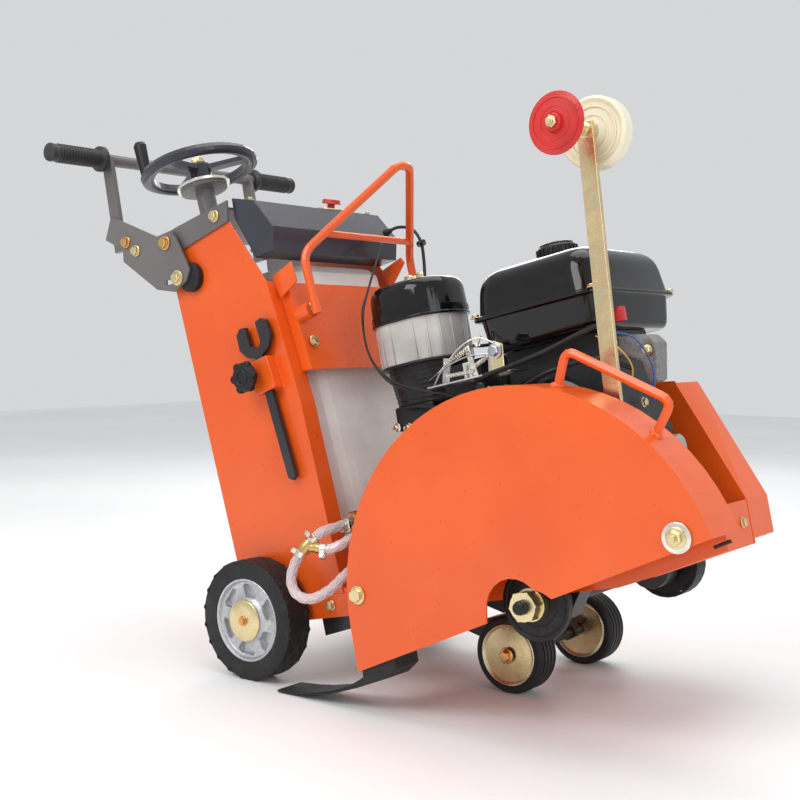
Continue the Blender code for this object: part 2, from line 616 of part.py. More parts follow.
def make_swing_arm():
    black = paint("black_paint", BLACK, 0.4)
    px, pz = ARM_PIVOT
    body("swing_arm", (px, 0, pz))
    ax, az = FRONT_AXLE_X, FRONT_AXLE_Z
    arm = rod("swing_arm", (px, -0.1690, pz), (px, 0.1690, pz), 0.013, 16)
    run = (Vector((ax, az)) - Vector((px, pz))).normalized()
    side = Vector((-run.y, run.x))
    low, high = Vector((px, pz)), Vector((ax, az))
    web = [low - side * 0.018, high - side * 0.015, high + run * 0.016, high + side * 0.015, low + side * 0.014,
           low - run * 0.016]
    outline = [(p.x, p.y) for p in web]
    for y in (0.022, 0.158):
        weld(arm, prism("web", outline, y, y + 0.008))
    heel = [(0.108, -0.010), (0.110, -0.045), (0.168, -0.037), (0.170, -0.010)]
    weld(arm, prism("heel", heel, -0.167, -0.120))
    weld(arm, rod("cross_tube", (0.285, 0.024, pz - 0.0713), (0.285, 0.164, pz - 0.0713), 0.010, 12))
    weld(arm, rod("axle", (ax, FRONT_RIGHT_Y - 0.029, az), (ax, FRONT_LEFT_Y + 0.029, az), 0.008, 16))
    eye = lever_eye()
    lift = Vector((eye[0] - px, eye[1] - pz)).normalized()
    up = Vector((-lift.y, lift.x))
    root, tip = Vector((px, pz)), Vector(eye)
    bar = [root + up * 0.010, root - up * 0.010, tip + lift * 0.010 - up * 0.007, tip + lift * 0.010 + up * 0.007]
    weld(arm, prism("lever", [(p.x, p.y) for p in bar], SCREW_Y - 0.019, SCREW_Y - 0.011))
    weld(arm, rod("lever_pin", (eye[0], SCREW_Y - 0.013, eye[1]), (eye[0], SCREW_Y + 0.010, eye[1]), 0.004, 12))
    finish(arm, "swing_arm", black)


def lever_eye():
    """Where the lever's pin meets the pull rod at rest."""
    angle = math.radians(8.0) - SCREW_LEAN
    return (ARM_PIVOT[0] - LEVER_LENGTH * math.cos(angle), ARM_PIVOT[1] + LEVER_LENGTH * math.sin(angle))


def make_lift():
    steel = paint("steel", STEEL, 0.35, 0.9)
    black = paint("black_paint", BLACK, 0.4)
    hub = on_screw(0.800)
    body("handwheel", hub)
    finish(rod("leadscrew", on_screw(0.520), on_screw(0.7995), 0.0100, 20), "handwheel", steel)

    body("lift_nut", on_screw(0.520))
    nut = turned("lift_nut", [(0.0070, 0.450), (0.0160, 0.455), (0.0160, 0.600), (0.0106, 0.600), (0.0106, 0.480),
                              (0.0, 0.480)], 20, on_screw(0), SCREW_AXIS)
    eye = lever_eye()
    height = eye[1] / math.cos(SCREW_LEAN)
    weld(nut, rod("pull_rod", on_screw(height + 0.006), on_screw(0.455), 0.0060, 12))
    centre = Vector((eye[0] - 0.0005, SCREW_Y, eye[1]))
    weld(nut, rod("eye", centre - Vector((0, 0.005, 0)), centre + Vector((0, 0.005, 0)), 0.0115, 20))
    cut(nut, rod("eye_hole", centre - Vector((0, 0.02, 0)), centre + Vector((0, 0.02, 0)), 0.0070, 16))
    finish(nut, "lift_nut", steel)

    wheel = turned("handwheel", [(0.083, -0.006), (0.104, -0.006), (0.106, 0.0), (0.102, 0.007), (0.085, 0.007)], 40,
                   hub, SCREW_AXIS, ring=True)
    weld(wheel, turned("hub", [(0.020, -0.0245), (0.020, 0.006), (0.014, 0.010)], 20, hub, SCREW_AXIS))
    turn = aim(SCREW_AXIS)
    for k in range(3):
        spin = Matrix.Rotation(math.radians(38 + 120 * k), 4, "Z")
        spoke = block("spoke", (0.014, -0.011, -0.005), (0.087, 0.011, 0.003))
        spoke.data.transform(Matrix.Translation(hub) @ turn @ spin)
        weld(wheel, spoke)
    cut(wheel, rod("screw_seat", on_screw(0.70), on_screw(0.7998), 0.0103, 20))
    finish(wheel, "handwheel", black)

    spin = Matrix.Rotation(math.radians(218), 4, "Z")
    seat = Matrix.Translation(hub) @ turn @ spin @ Vector((0.0945, 0, 0.0073))
    body("crank_knob", seat, "handwheel")
    knob = turned("crank_knob", [(0.008, 0), (0.010, 0.010), (0.012, 0.062), (0.009, 0.068)], 16, seat, SCREW_AXIS)
    finish(knob, "crank_knob", paint("black_plastic", BLACK, 0.35))


# ---- handle -----------------------------------------------------------------
def make_handle():
    grey = paint("grey_paint", GREY, 0.45)
    body("handle", (HANDLE_PIVOT[0], 0, HANDLE_PIVOT[1]))
    plate = [(-0.237, 0.755), (-0.221, 0.749), (-0.122, 0.689), (-0.085, 0.690), (-0.073, 0.674), (-0.051, 0.612),
             (-0.064, 0.594), (-0.097, 0.582), (-0.140, 0.596), (-0.219, 0.667), (-0.217, 0.689), (-0.260, 0.719)]
    slot = arc(HANDLE_PIVOT, 0.0745, -101, -68, 6) + arc(HANDLE_PIVOT, 0.0665, -68, -101, 6)
    for name, sign in (("handle_plate_right", -1), ("handle_plate_left", 1)):
        low, high = sorted((sign * PLATE_OUT, sign * (PLATE_OUT - SHEET)))
        cheek = prism(name, plate, low, high)
        cut(cheek, prism("slot", slot, low - 0.01, high + 0.01))
        finish(cheek, "handle", grey)
    x, z = HANDLE_BAR
    bar = rod("handlebar", (x, -0.305, z), (x, 0.305, z), 0.0110, 20)
    for sign in (-1, 1):
        low, high = sorted((sign * (PLATE_OUT - SHEET - GAP), sign * (PLATE_OUT - SHEET - 0.010)))
        weld(bar, prism("upright", [(-0.2440, 0.690), (-0.2190, 0.690), (-0.2190, 0.868), (-0.2430, 0.868)], low,
                        high))
    finish(bar, "handle", grey)
    rubber = paint("rubber", RUBBER, 0.6)
    for name, sign in (("grip_right", -1), ("grip_left", 1)):
        profile = [(0.0, 0.308), (0.0160, 0.308), (0.0160, 0.206), (0.0235, 0.203), (0.0235, 0.195), (0.0170, 0.192),
                   (0.0113, 0.192), (0.0113, 0.3053), (0.0, 0.3053)]
        grip = turned(name, profile, 20, (x, 0, z), (0, sign, 0))
        finish(grip, "handle", rubber)


# ---- guard, guide arm and tools ----------------------------------------------
def guard_outline(shrink, drop):
    """The guard's outline, pulled in from its edge; drop lowers the open bottom."""
    arch = arc(SHAFT, GUARD_R - shrink, 180, 12, 30)
    low = [(0.852 - shrink, 0.045 - drop), (0.250 + shrink, -0.091 - drop)]
    return low + arch


def make_guard():
    orange = paint("orange_paint", ORANGE, 0.35)
    body("guard", (GUARD_HINGE[0], -0.22, GUARD_HINGE[1]))
    guard = prism("blade_guard", guard_outline(0, 0), GUARD_OUT, GUARD_IN)
    cut(guard, prism("inside", guard_outline(0.003, 0.06), GUARD_OUT + 0.003, GUARD_IN + 0.02))
    notch = [(0.486, -0.060), (0.500, -0.036), (0.503, -0.020)] + arc((0.549, -0.022), 0.046, 175, 40, 8)
    notch += [(0.600, 0.000), (0.615, -0.011), (0.650, -0.020), (0.650, -0.060)]
    cut(guard, prism("notch", notch, GUARD_OUT - 0.01, GUARD_OUT + 0.01))
    y = -0.217
    hoop = [(0.646, y, 0.273), (0.676, y, 0.318), (0.816, y, 0.222), (0.782, y, 0.180)]
    hoop[0] = (0.6525, y, 0.2670)
    loop = rounded(hoop, [0.016, 0.016], 4)
    weld(guard, tube("grab_handle", loop, 0.0065, 2))
    finish(guard, "guard", orange)

    sheet = [(0.256, -0.0830), (0.255, -0.100), (0.225, -0.1115), (0.180, -0.1190), (0.130, -0.1195),
             (0.070, -0.1120), (0.070, -0.1155), (0.130, -0.1235), (0.182, -0.1235), (0.240, -0.1155),
             (0.300, -0.1040), (0.322, -0.0900), (0.322, -0.0690)]
    finish(prism("splash_flap", sheet, -0.2565, -0.200), "guard", paint("rubber", RUBBER, 0.6))


def make_guide_arm():
    zinc = paint("zinc_plate", ZINC, 0.3, 0.9)
    px, pz = GUIDE_PIVOT
    body("guide_arm", (px, GUIDE_Y, pz))
    foot, tip = Vector(GUIDE_PIVOT), Vector(GUIDE_TIP)
    along = (tip - foot).normalized()
    side = Vector((-along.y, along.x))
    start, end = foot - along * 0.014, tip + along * 0.012
    shape = [start + side * 0.0125, start - side * 0.0125, end - side * 0.0125, end + side * 0.0125]
    arm = prism("guide_arm", [(p.x, p.y) for p in shape], GUIDE_Y - 0.004, GUIDE_Y + 0.004)
    weld(arm, rod("axle", (tip.x, GUIDE_Y - 0.100, tip.y), (tip.x, GUIDE_Y + 0.052, tip.y), 0.005, 12))
    weld(arm, rod("hinge_pin", (px, -HALF + SHEET + 0.0005, pz), (px, GUIDE_Y + 0.001, pz), 0.008, 12))
    finish(arm, "guide_arm", zinc)

    place = (tip.x, GUIDE_Y - 0.080, tip.y)
    body("pointer_wheel", place, "guide_arm")
    profile = [(0.0054, -0.011), (0.012, -0.011), (0.014, -0.004), (0.036, -0.003), (0.0435, 0.0), (0.036, 0.003),
               (0.014, 0.004), (0.012, 0.014), (0.0054, 0.014)]
    wheel = turned("pointer_wheel", profile, 32, place, ring=True)
    finish(wheel, "pointer_wheel", paint("red_plastic", (0.6, 0.02, 0.02), 0.35))
    place = (tip.x, GUIDE_Y + 0.030, tip.y)
    body("guide_wheel", place, "guide_arm")
    profile = [(0.0054, -0.019), (0.016, -0.019), (0.018, -0.012), (0.042, -0.010), (0.048, -0.014), (0.052, -0.010),
               (0.052, 0.010), (0.048, 0.014), (0.042, 0.010), (0.018, 0.012), (0.016, 0.018), (0.0054, 0.018)]
    wheel = turned("guide_wheel", profile, 32, place, ring=True)
    finish(wheel, "guide_wheel", paint("nylon", CREAM, 0.4))


def make_wrench():
    black = paint("black_paint", BLACK, 0.4)
    along = (WRENCH_TOP - WRENCH_FOOT).normalized()
    side = Vector((along.z, 0, -along.x))
    body("wrench", WRENCH_TOP)

    def at(a, b):
        spot = WRENCH_TOP + along * a + side * b
        return (spot.x, spot.z)

    stem, jaw = 0.0085, 0.0130
    shape = [at(-0.234, -stem), at(-0.240, 0), at(-0.234, stem), at(-0.024, stem), at(-0.016, 0.026), at(0.000, 0.038),
             at(0.030, 0.036), at(0.036, 0.026), at(0.034, jaw), at(0.000, jaw), at(-0.007, 0.008),
             at(-0.007, -0.008), at(0.000, -jaw), at(0.034, -jaw), at(0.036, -0.026), at(0.028, -0.036),
             at(0.000, -0.038), at(-0.016, -0.026), at(-0.024, -stem)]
    finish(prism("wrench", shape, -0.1900, -0.1810), "wrench", black)
    spot = (0.066, -0.1968, 0.397)
    body("wrench_knob", spot)
    knob = turned("wrench_knob", [(0.008, 0), (0.009, 0.010), (0.024, 0.014), (0.025, 0.022), (0.020, 0.027)], 20,
                  spot, (0, -1, 0))
    finish(knob, "wrench_knob", paint("black_plastic", BLACK, 0.35))


# ---- water and control lines ----------------------------------------------------
def make_lines():
    clear = paint("clear_hose", (0.75, 0.68, 0.68), 0.25)
    brass = paint("zinc_plate", ZINC, 0.3, 0.9)
    radius = 0.0080
    valve = rod("water_valve", (0.187, -0.108, 0.128), (0.187, -0.160, 0.128), 0.012, 16)
    weld(valve, rod("spigot", (0.187, -0.118, 0.128), (0.1535, -0.118, 0.128), 0.008, 12))
    weld(valve, rod("stem", (0.187, -0.136, 0.128), (0.187, -0.136, 0.1460), 0.005, 12))
    finish(valve, "chassis", brass)
    body("valve_lever", (0.187, -0.136, 0.148))
    lever = slab("valve_lever", [(0.181, -0.144), (0.193, -0.144), (0.193, -0.100), (0.190, -0.090), (0.184, -0.090),
                                 (0.181, -0.100)], 0.1463, 0.1493)
    finish(lever, "valve_lever", paint("red_plastic", (0.6, 0.02, 0.02), 0.35))

    loop = [(0.187, -0.1605, 0.128), (0.186, -0.180, 0.128), (0.174, -0.207, 0.124), (0.157, -0.224, 0.108),
            (0.135, -0.234, 0.086), (0.121, -0.238, 0.058), (0.127, -0.236, 0.033), (0.150, -0.228, 0.023),
            (0.178, -0.212, 0.033), (0.199, -0.194, 0.052), (0.213, -0.170, 0.064), (0.222, -0.148, 0.060),
            (0.227, -0.137, 0.048), (0.227, -0.137, 0.026)]
    finish(tube("water_hose_loop", smooth_route(loop, 3), radius, 2), "chassis", clear)
    branch = [(0.172, -0.2180, 0.100), (0.186, -0.212, 0.096), (0.204, -0.200, 0.100), (0.218, -0.180, 0.108),
              (0.230, -0.155, 0.104), (0.243, -0.130, 0.086), (0.251, -0.113, 0.056), (0.251, -0.113, 0.026)]
    finish(tube("water_hose_branch", smooth_route(branch, 3), radius, 2), "chassis", clear)

    cable = [(0.1415, 0.135, 0.648), (0.160, 0.150, 0.655), (0.185, 0.158, 0.645), (0.206, 0.150, 0.615),
             (0.214, 0.138, 0.575), (0.222, 0.120, 0.530), (0.240, 0.100, 0.480), (0.268, 0.080, 0.436),
             (0.306, 0.062, 0.405), (0.360, 0.046, 0.388), (0.4115, 0.032, 0.382)]
    finish(tube("throttle_cable", smooth_route(cable, 4), 0.003, 2), "chassis", paint("rubber", RUBBER, 0.6))


def main():
    clear_scene()
    chassis = body("chassis", (0, 0, 0), None)
    make_chassis()
    make_tower()
    make_water_tank()
    make_head()
    make_console()
    make_bail()
    make_engine()
    make_drive()
    make_swing_arm()
    make_wheels()
    make_lift()
    make_handle()
    make_guard()
    make_guide_arm()
    make_wrench()
    make_lines()
    chassis.location = (*ORIGIN_SHIFT, REAR_R)
    chassis.rotation_euler = (0, -PITCH, 0)
    bpy.context.view_layer.update()


main()
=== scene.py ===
"""Walk-behind concrete saw: the looks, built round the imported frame."""
import math

import bmesh
import bpy
from mathutils import Matrix, Vector


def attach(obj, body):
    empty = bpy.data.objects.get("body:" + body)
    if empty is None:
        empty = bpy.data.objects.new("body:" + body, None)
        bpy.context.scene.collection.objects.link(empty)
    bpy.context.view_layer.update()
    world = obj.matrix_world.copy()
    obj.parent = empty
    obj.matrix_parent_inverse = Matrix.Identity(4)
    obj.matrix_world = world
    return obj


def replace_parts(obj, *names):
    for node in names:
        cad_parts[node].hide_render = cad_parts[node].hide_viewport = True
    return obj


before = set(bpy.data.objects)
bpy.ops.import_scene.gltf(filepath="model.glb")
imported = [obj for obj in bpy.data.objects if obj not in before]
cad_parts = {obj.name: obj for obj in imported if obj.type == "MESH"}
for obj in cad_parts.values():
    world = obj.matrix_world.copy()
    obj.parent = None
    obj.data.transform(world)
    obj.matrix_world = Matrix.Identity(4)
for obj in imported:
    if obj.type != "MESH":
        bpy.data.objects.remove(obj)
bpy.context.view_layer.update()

# ---- camera ---------------------------------------------------------------
camera_data = bpy.data.cameras.new("camera")
camera_data.lens = 55.52
camera_data.sensor_width = 36.0
camera = bpy.data.objects.new("camera", camera_data)
camera.location = (1.24695, -1.6748, 0.5676)
camera.rotation_euler = (math.radians(87.123), 0.0, math.radians(37.91))
bpy.context.scene.collection.objects.link(camera)
bpy.context.scene.camera = camera

# ---- the deck's frame and the places that the pieces share -----------------
PITCH = math.radians(12.0)
REAR_R = 0.100
DECK = Matrix.Translation((-0.19895, 0.0, REAR_R)) @ Matrix.Rotation(-PITCH, 4, "Y")
X, Y, Z = Vector((1, 0, 0)), Vector((0, 1, 0)), Vector((0, 0, 1))
HALF = 0.175
FRONT_R = 0.0625
FRONT_AXLE = (0.3706, (FRONT_R - REAR_R - 0.3706 * math.sin(PITCH)) / math.cos(PITCH))
SHAFT = (0.556, -0.018)
CRANK = (0.530, 0.160)
GUARD_FACE = -0.260
SCREW_LEAN = math.radians(5.9)
SCREW_AXIS = Vector((-math.sin(SCREW_LEAN), 0, math.cos(SCREW_LEAN)))
GUIDE_TIP = (0.730, 0.617)
GUIDE_Y = -0.150


def on_screw(distance):
    return Vector((0.0377, -0.135, 0)) + SCREW_AXIS * distance


# ---- shader expressions ------------------------------------------------------
class Value:
    """A socket that takes part in arithmetic."""

    def __init__(self, shop, socket):
        self.shop, self.socket = shop, socket

    def work(self, operation, *terms):
        return self.shop.node("ShaderNodeMath", {"operation": operation}, *terms)

    def __add__(self, other):
        return self.work("ADD", self, other)

    def __radd__(self, other):
        return self.work("ADD", other, self)

    def __sub__(self, other):
        return self.work("SUBTRACT", self, other)

    def __rsub__(self, other):
        return self.work("SUBTRACT", other, self)

    def __mul__(self, other):
        return self.work("MULTIPLY", self, other)

    def __rmul__(self, other):
        return self.work("MULTIPLY", other, self)

    def __truediv__(self, other):
        return self.work("DIVIDE", self, other)

    def clamp(self):
        return self.shop.node("ShaderNodeClamp", {}, self)

    def step(self, low, high):
        """0 below low, 1 above high."""
        settings = {"interpolation_type": "SMOOTHSTEP"}
        return self.shop.node("ShaderNodeMapRange", settings, self, low, high, 0.0, 1.0)


class Finish:
    """A material under construction, with its Principled shader."""

    def __init__(self, name, **constants):
        self.material = bpy.data.materials.new(name)
        self.material.use_nodes = True
        self.nodes = self.material.node_tree.nodes
        self.links = self.material.node_tree.links
        self.shader = self.nodes["Principled BSDF"]
        for socket, value in constants.items():
            self.shader.inputs[socket.replace("_", " ")].default_value = value

    def node(self, kind, settings, *values, output=0, **named):
        made = self.nodes.new(kind)
        for key, value in settings.items():
            if key == "stops":
                ramp = made.color_ramp
                while len(ramp.elements) < len(value):
                    ramp.elements.new(0.5)
                for element, (place, colour) in zip(ramp.elements, value):
                    element.position = place
                    element.color = (*colour, 1.0)
            else:
                setattr(made, key, value)
        pairs = list(zip(made.inputs, values))
        pairs += [(made.inputs[key.replace("_", " ")], value) for key, value in named.items()]
        for socket, value in pairs:
            if isinstance(value, Value):
                self.links.new(value.socket, socket)
            elif value is not None:
                socket.default_value = value
        return Value(self, made.outputs[output])

    def place(self):
        return self.node("ShaderNodeTexCoord", {}, output=3)

    def noise(self, scale, detail=3.0, rough=0.5, where=None):
        return self.node("ShaderNodeTexNoise", {}, Vector=where or self.place(), Scale=scale, Detail=detail,
                         Roughness=rough)

    def height(self):
        apart = self.node("ShaderNodeSeparateXYZ", {}, self.place(), output=2)
        return apart

    def ramp(self, value, stops):
        return self.node("ShaderNodeValToRGB", {"stops": stops}, value)

    def mix(self, factor, first, second):
        made = self.nodes.new("ShaderNodeMix")
        made.data_type = "RGBA"
        for key, value in ((0, factor), (6, first), (7, second)):
            if isinstance(value, Value):
                self.links.new(value.socket, made.inputs[key])
            else:
                made.inputs[key].default_value = value if key == 0 else (*value, 1.0)
        return Value(self, made.outputs[2])

    def feed(self, **sockets):
        for key, value in sockets.items():
            self.links.new(value.socket, self.shader.inputs[key.replace("_", " ")])

    def bump(self, height, strength, depth):
        self.feed(Normal=self.node("ShaderNodeBump", {}, Height=height, Strength=strength, Distance=depth))


def powder_coat(name, colour, shade, rough=0.30, dust=0.35, peel=0.05, dusty=(0.42, 0.38, 0.33)):
    """Baked paint: a faint drift of tone, orange peel, and dust low down."""
    f = Finish(name, Coat_Weight=0.15, Coat_Roughness=0.12)
    tone = f.mix(f.noise(5.0).step(0.35, 0.68), colour, shade)
    low = 1.0 - f.height().step(0.02, 0.55)
    film = (f.noise(11.0, 5.0, 0.6).step(0.46, 0.80) * (low * 0.8 + 0.2) * dust).clamp()
    f.feed(Base_Color=f.mix(film, tone, dusty))
    f.feed(Roughness=f.noise(60.0, 4.0) * 0.14 + (rough - 0.07) + film * 0.35)
    f.bump(f.noise(420.0, 2.0), peel, 0.0006)
    return f.material


def metal(name, colour, shade, rough=0.3, grain=90.0, metallic=1.0, pits=0.08):
    f = Finish(name, Metallic=metallic)
    cloud = f.noise(grain, 5.0, 0.6).step(0.3, 0.72)
    f.feed(Base_Color=f.mix(cloud, colour, shade))
    f.feed(Roughness=f.noise(grain * 1.7, 4.0) * 0.22 + (rough - 0.08))
    f.bump(f.noise(grain * 9.0, 2.0), pits, 0.0004)
    return f.material


def plated(name, stops, rough=0.28):
    """Chromated zinc, whose colour drifts over the surface."""
    f = Finish(name, Metallic=1.0)
    where = f.place()
    drift = f.noise(26.0, 3.0, 0.5, where) * 0.65 + f.noise(110.0, 3.0, 0.6, where) * 0.35
    f.feed(Base_Color=f.ramp(drift, stops))
    f.feed(Roughness=f.noise(190.0, 3.0) * 0.2 + (rough - 0.08))
    f.bump(f.noise(700.0, 2.0), 0.06, 0.0004)
    return f.material


def moulded(name, colour, shade, rough=0.4, grain=600.0, depth=0.12, dust=0.12, **constants):
    f = Finish(name, **constants)
    tone = f.mix(f.noise(14.0).step(0.35, 0.7), colour, shade)
    film = (f.noise(45.0, 6.0, 0.65).step(0.52, 0.8) * dust).clamp()
    f.feed(Base_Color=f.mix(film, tone, (0.45, 0.42, 0.38)))
    f.feed(Roughness=f.noise(80.0, 3.0) * 0.14 + (rough - 0.07) + film * 0.3)
    f.bump(f.noise(grain, 2.0), depth, 0.0005)
    return f.material


FINISH = {
    "orange": powder_coat("orange_powder_coat", (0.80, 0.108, 0.008), (0.74, 0.092, 0.006), 0.30, 0.05),
    "black_paint": powder_coat("black_paint", (0.010, 0.010, 0.012), (0.016, 0.016, 0.019), 0.32, 0.06),
    "slate": powder_coat("slate_powder_coat", (0.022, 0.022, 0.034), (0.032, 0.031, 0.046), 0.30, 0.04),
    "grey": powder_coat("grey_powder_coat", (0.150, 0.138, 0.134), (0.118, 0.108, 0.106), 0.42, 0.12),
    "rubber": moulded("tyre_rubber", (0.010, 0.010, 0.011), (0.017, 0.0165, 0.017), 0.55, 300.0, 0.20, 0.06,
                      Specular_IOR_Level=0.35),
    "grip": moulded("grip_rubber", (0.016, 0.016, 0.017), (0.026, 0.026, 0.027), 0.48, 500.0, 0.20, 0.12),
    "black_plastic": moulded("black_plastic", (0.008, 0.008, 0.009), (0.013, 0.013, 0.015), 0.36, dust=0.02,
                             Specular_IOR_Level=0.35),
    "gloss_black": moulded("gloss_black_enamel", (0.003, 0.003, 0.0035), (0.005, 0.005, 0.006), 0.10, 200.0, 0.02,
                           0.0, Specular_IOR_Level=0.4),
    "casting": metal("black_casting", (0.008, 0.008, 0.009), (0.018, 0.018, 0.018), 0.46, 120.0, 0.0, 0.30),
    "iron": metal("blackened_iron", (0.016, 0.016, 0.018), (0.030, 0.029, 0.030), 0.40, 140.0, 0.6, 0.20),
    "steel": metal("turned_steel", (0.55, 0.56, 0.58), (0.38, 0.38, 0.40), 0.28, 160.0),
    "aluminium": metal("cast_aluminium", (0.62, 0.63, 0.65), (0.45, 0.46, 0.48), 0.38, 200.0, 0.9, 0.35),
    "grey_cast": metal("grey_casting", (0.30, 0.29, 0.29), (0.20, 0.195, 0.195), 0.55, 220.0, 0.5, 0.45),
    "zinc": plated("yellow_zinc", [(0.30, (0.66, 0.54, 0.27)), (0.46, (0.78, 0.67, 0.38)),
                                   (0.58, (0.74, 0.60, 0.36)),
                                   (0.70, (0.66, 0.62, 0.36))]),
    "cream_zinc": plated("clear_zinc", [(0.3, (0.70, 0.67, 0.56)), (0.5, (0.86, 0.84, 0.74)),
                                        (0.7, (0.72, 0.72, 0.68))],
                         0.24),
    "copper": plated("copper_zinc", [(0.3, (0.55, 0.27, 0.10)), (0.5, (0.78, 0.45, 0.18)),
                                     (0.7, (0.62, 0.40, 0.16))],
                     0.26),
    "brass": metal("brass", (0.72, 0.50, 0.20), (0.55, 0.37, 0.14), 0.28),
    "bar_zinc": plated("guide_bar_zinc", [(0.28, (0.70, 0.56, 0.28)), (0.42, (0.80, 0.67, 0.36)),
                                          (0.52, (0.78, 0.56, 0.34)), (0.62, (0.66, 0.62, 0.36)),
                                          (0.74, (0.68, 0.54, 0.42))], 0.24),
    "red": moulded("red_plastic", (0.62, 0.025, 0.020), (0.50, 0.016, 0.014), 0.30, 300.0, 0.05, 0.05),
    "nylon": moulded("nylon", (0.84, 0.79, 0.60), (0.76, 0.71, 0.52), 0.36, 200.0, 0.06, 0.05,
                     Subsurface_Weight=0.15, Subsurface_Radius=(0.01, 0.008, 0.005)),
    "tank": moulded("natural_polyethylene", (0.86, 0.85, 0.81), (0.78, 0.765, 0.72), 0.42, 120.0, 0.08, 0.10,
                    Subsurface_Weight=0.2, Subsurface_Radius=(0.01, 0.01, 0.008)),
    "bowl": moulded("milky_bowl", (0.56, 0.55, 0.52), (0.40, 0.395, 0.38), 0.24, 100.0, 0.03, 0.06,
                    Coat_Weight=0.3),
    "hose": moulded("clear_vinyl", (0.66, 0.56, 0.55), (0.52, 0.44, 0.44), 0.16, 120.0, 0.03, 0.05,
                    Coat_Weight=0.5),
    "thread": moulded("hose_braid", (0.82, 0.72, 0.72), (0.70, 0.58, 0.60), 0.40),
    "grey_plastic": moulded("grey_plastic", (0.34, 0.34, 0.33), (0.28, 0.28, 0.27), 0.45),
    "yellow_wire": moulded("yellow_sleeve", (0.70, 0.42, 0.03), (0.60, 0.34, 0.03), 0.35),
    "blue_wire": moulded("blue_sleeve", (0.03, 0.10, 0.38), (0.03, 0.08, 0.30), 0.35),
}

# ---- CAD nodes that are shown as they are --------------------------------------
SHOWN = {
    "orange": "deck_plate side_rail_right side_plate_left tower_side_right tower_side_left tower_back_panel"
              " tower_front_panel lifting_bail belt_cover blade_guard",
    "black_paint": "swing_arm wrench bearing_right bearing_left",
    "slate": "control_box handwheel",
    "grey": "head_bracket handle_plate_right handle_plate_left handlebar",
    "rubber": "splash_flap clamp_disc drive_belt throttle_cable",
    "grip": "grip_right grip_left",
    "black_plastic": "air_cleaner_body crank_knob wrench_knob fuel_cap recoil_grip tank_cap",
    "gloss_black": "fuel_tank air_cleaner_cover fan_housing",
    "casting": "engine_block muffler",
    "iron": "blade_shaft shaft_pulley crank_pulley",
    "steel": "leadscrew lift_nut",
    "zinc": "rear_axle shaft_nut throttle_lever",
    "bar_zinc": "guide_arm",
    "brass": "water_valve",
    "red": "stop_button valve_lever pointer_wheel",
    "nylon": "guide_wheel",
    "tank": "water_tank",
    "bowl": "air_cleaner_bowl",
    "hose": "water_hose_loop water_hose_branch",
    "grey_plastic": "oil_cap",
}
SOFT_EDGE = {"blade_guard": 0.0022, "fuel_tank": 0.004, "air_cleaner_cover": 0.004, "control_box": 0.0025,
             "belt_cover": 0.0025, "engine_block": 0.004, "tower_side_right": 0.0016, "tower_side_left": 0.0016,
             "drive_belt": 0, "throttle_cable": 0, "water_hose_loop": 0, "water_hose_branch": 0, "lifting_bail": 0,
             "water_tank": 0.006, "muffler": 0.004}


def dress_frame():
    for finish, names in SHOWN.items():
        for name in names.split():
            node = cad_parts[name]
            for slot in node.material_slots:
                slot.material = FINISH[finish]
            width = SOFT_EDGE.get(name, 0.0010)
            if width:
                weld = node.modifiers.new("weld", "WELD")
                weld.merge_threshold = 0.00002
                edge = node.modifiers.new("soft_edge", "BEVEL")
                edge.width = width
                edge.segments = 3
                edge.limit_method = "ANGLE"
                edge.angle_limit = math.radians(40)
                edge.harden_normals = False


# ---- modelling helpers -----------------------------------------------------------
def deselect():
    if bpy.context.mode != "OBJECT":
        bpy.ops.object.mode_set(mode="OBJECT")
    bpy.ops.object.select_all(action="DESELECT")


def turn_to(axis):
    return Z.rotation_difference(Vector(axis).normalized()).to_matrix().to_4x4()


def settle(obj, name, body, finish, smooth=32, at=None):
    """Puts a finished piece on its body, with its place kept in its mesh."""
    obj.name = name
    obj.data.name = name
    obj.data.transform((at or DECK) @ obj.matrix_world)
    obj.matrix_world = Matrix.Identity(4)
    obj.data.materials.clear()
    obj.data.materials.append(FINISH[finish])
    deselect()
    obj.select_set(True)
    bpy.context.view_layer.objects.active = obj
    bpy.ops.object.mode_set(mode="EDIT")
    bpy.ops.mesh.select_all(action="SELECT")
    bpy.ops.mesh.remove_doubles(threshold=0.000005)
    bpy.ops.mesh.normals_make_consistent(inside=False)
    bpy.ops.object.mode_set(mode="OBJECT")
    bpy.ops.object.shade_smooth_by_angle(angle=math.radians(smooth))
    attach(obj, body)
    deselect()
    return obj


def lathe(profile, sides, centre, axis, closed=False):
    """A ring of edges, drawn out along (radius, height) steps, then stood on an axis."""
    deselect()
    first = profile[0]
    fill = "NOTHING" if closed else "NGON"
    bpy.ops.mesh.primitive_circle_add(vertices=sides, radius=first[0], fill_type=fill, location=(0, 0, first[1]))
    obj = bpy.context.object
    bpy.ops.object.transform_apply(location=True, rotation=True, scale=True)
    bpy.ops.object.mode_set(mode="EDIT")
    bpy.ops.mesh.select_all(action="SELECT")
    steps = profile[1:] + ([first] if closed else [])
    held = first
    for radius, height in steps:
        move = {"value": (0, 0, height - held[1])}
        if closed:
            bpy.ops.mesh.extrude_edges_move(TRANSFORM_OT_translate=move)
        else:
            bpy.ops.mesh.extrude_region_move(TRANSFORM_OT_translate=move)
        scale = radius / held[0]
        bpy.ops.transform.resize(value=(scale, scale, 1), center_override=(0, 0, height))
        held = (radius, height)
    bpy.ops.mesh.select_all(action="SELECT")
    bpy.ops.mesh.remove_doubles(threshold=0.000005)
    bpy.ops.object.mode_set(mode="OBJECT")
    obj.data.transform(Matrix.Translation(centre) @ turn_to(axis))
    return obj


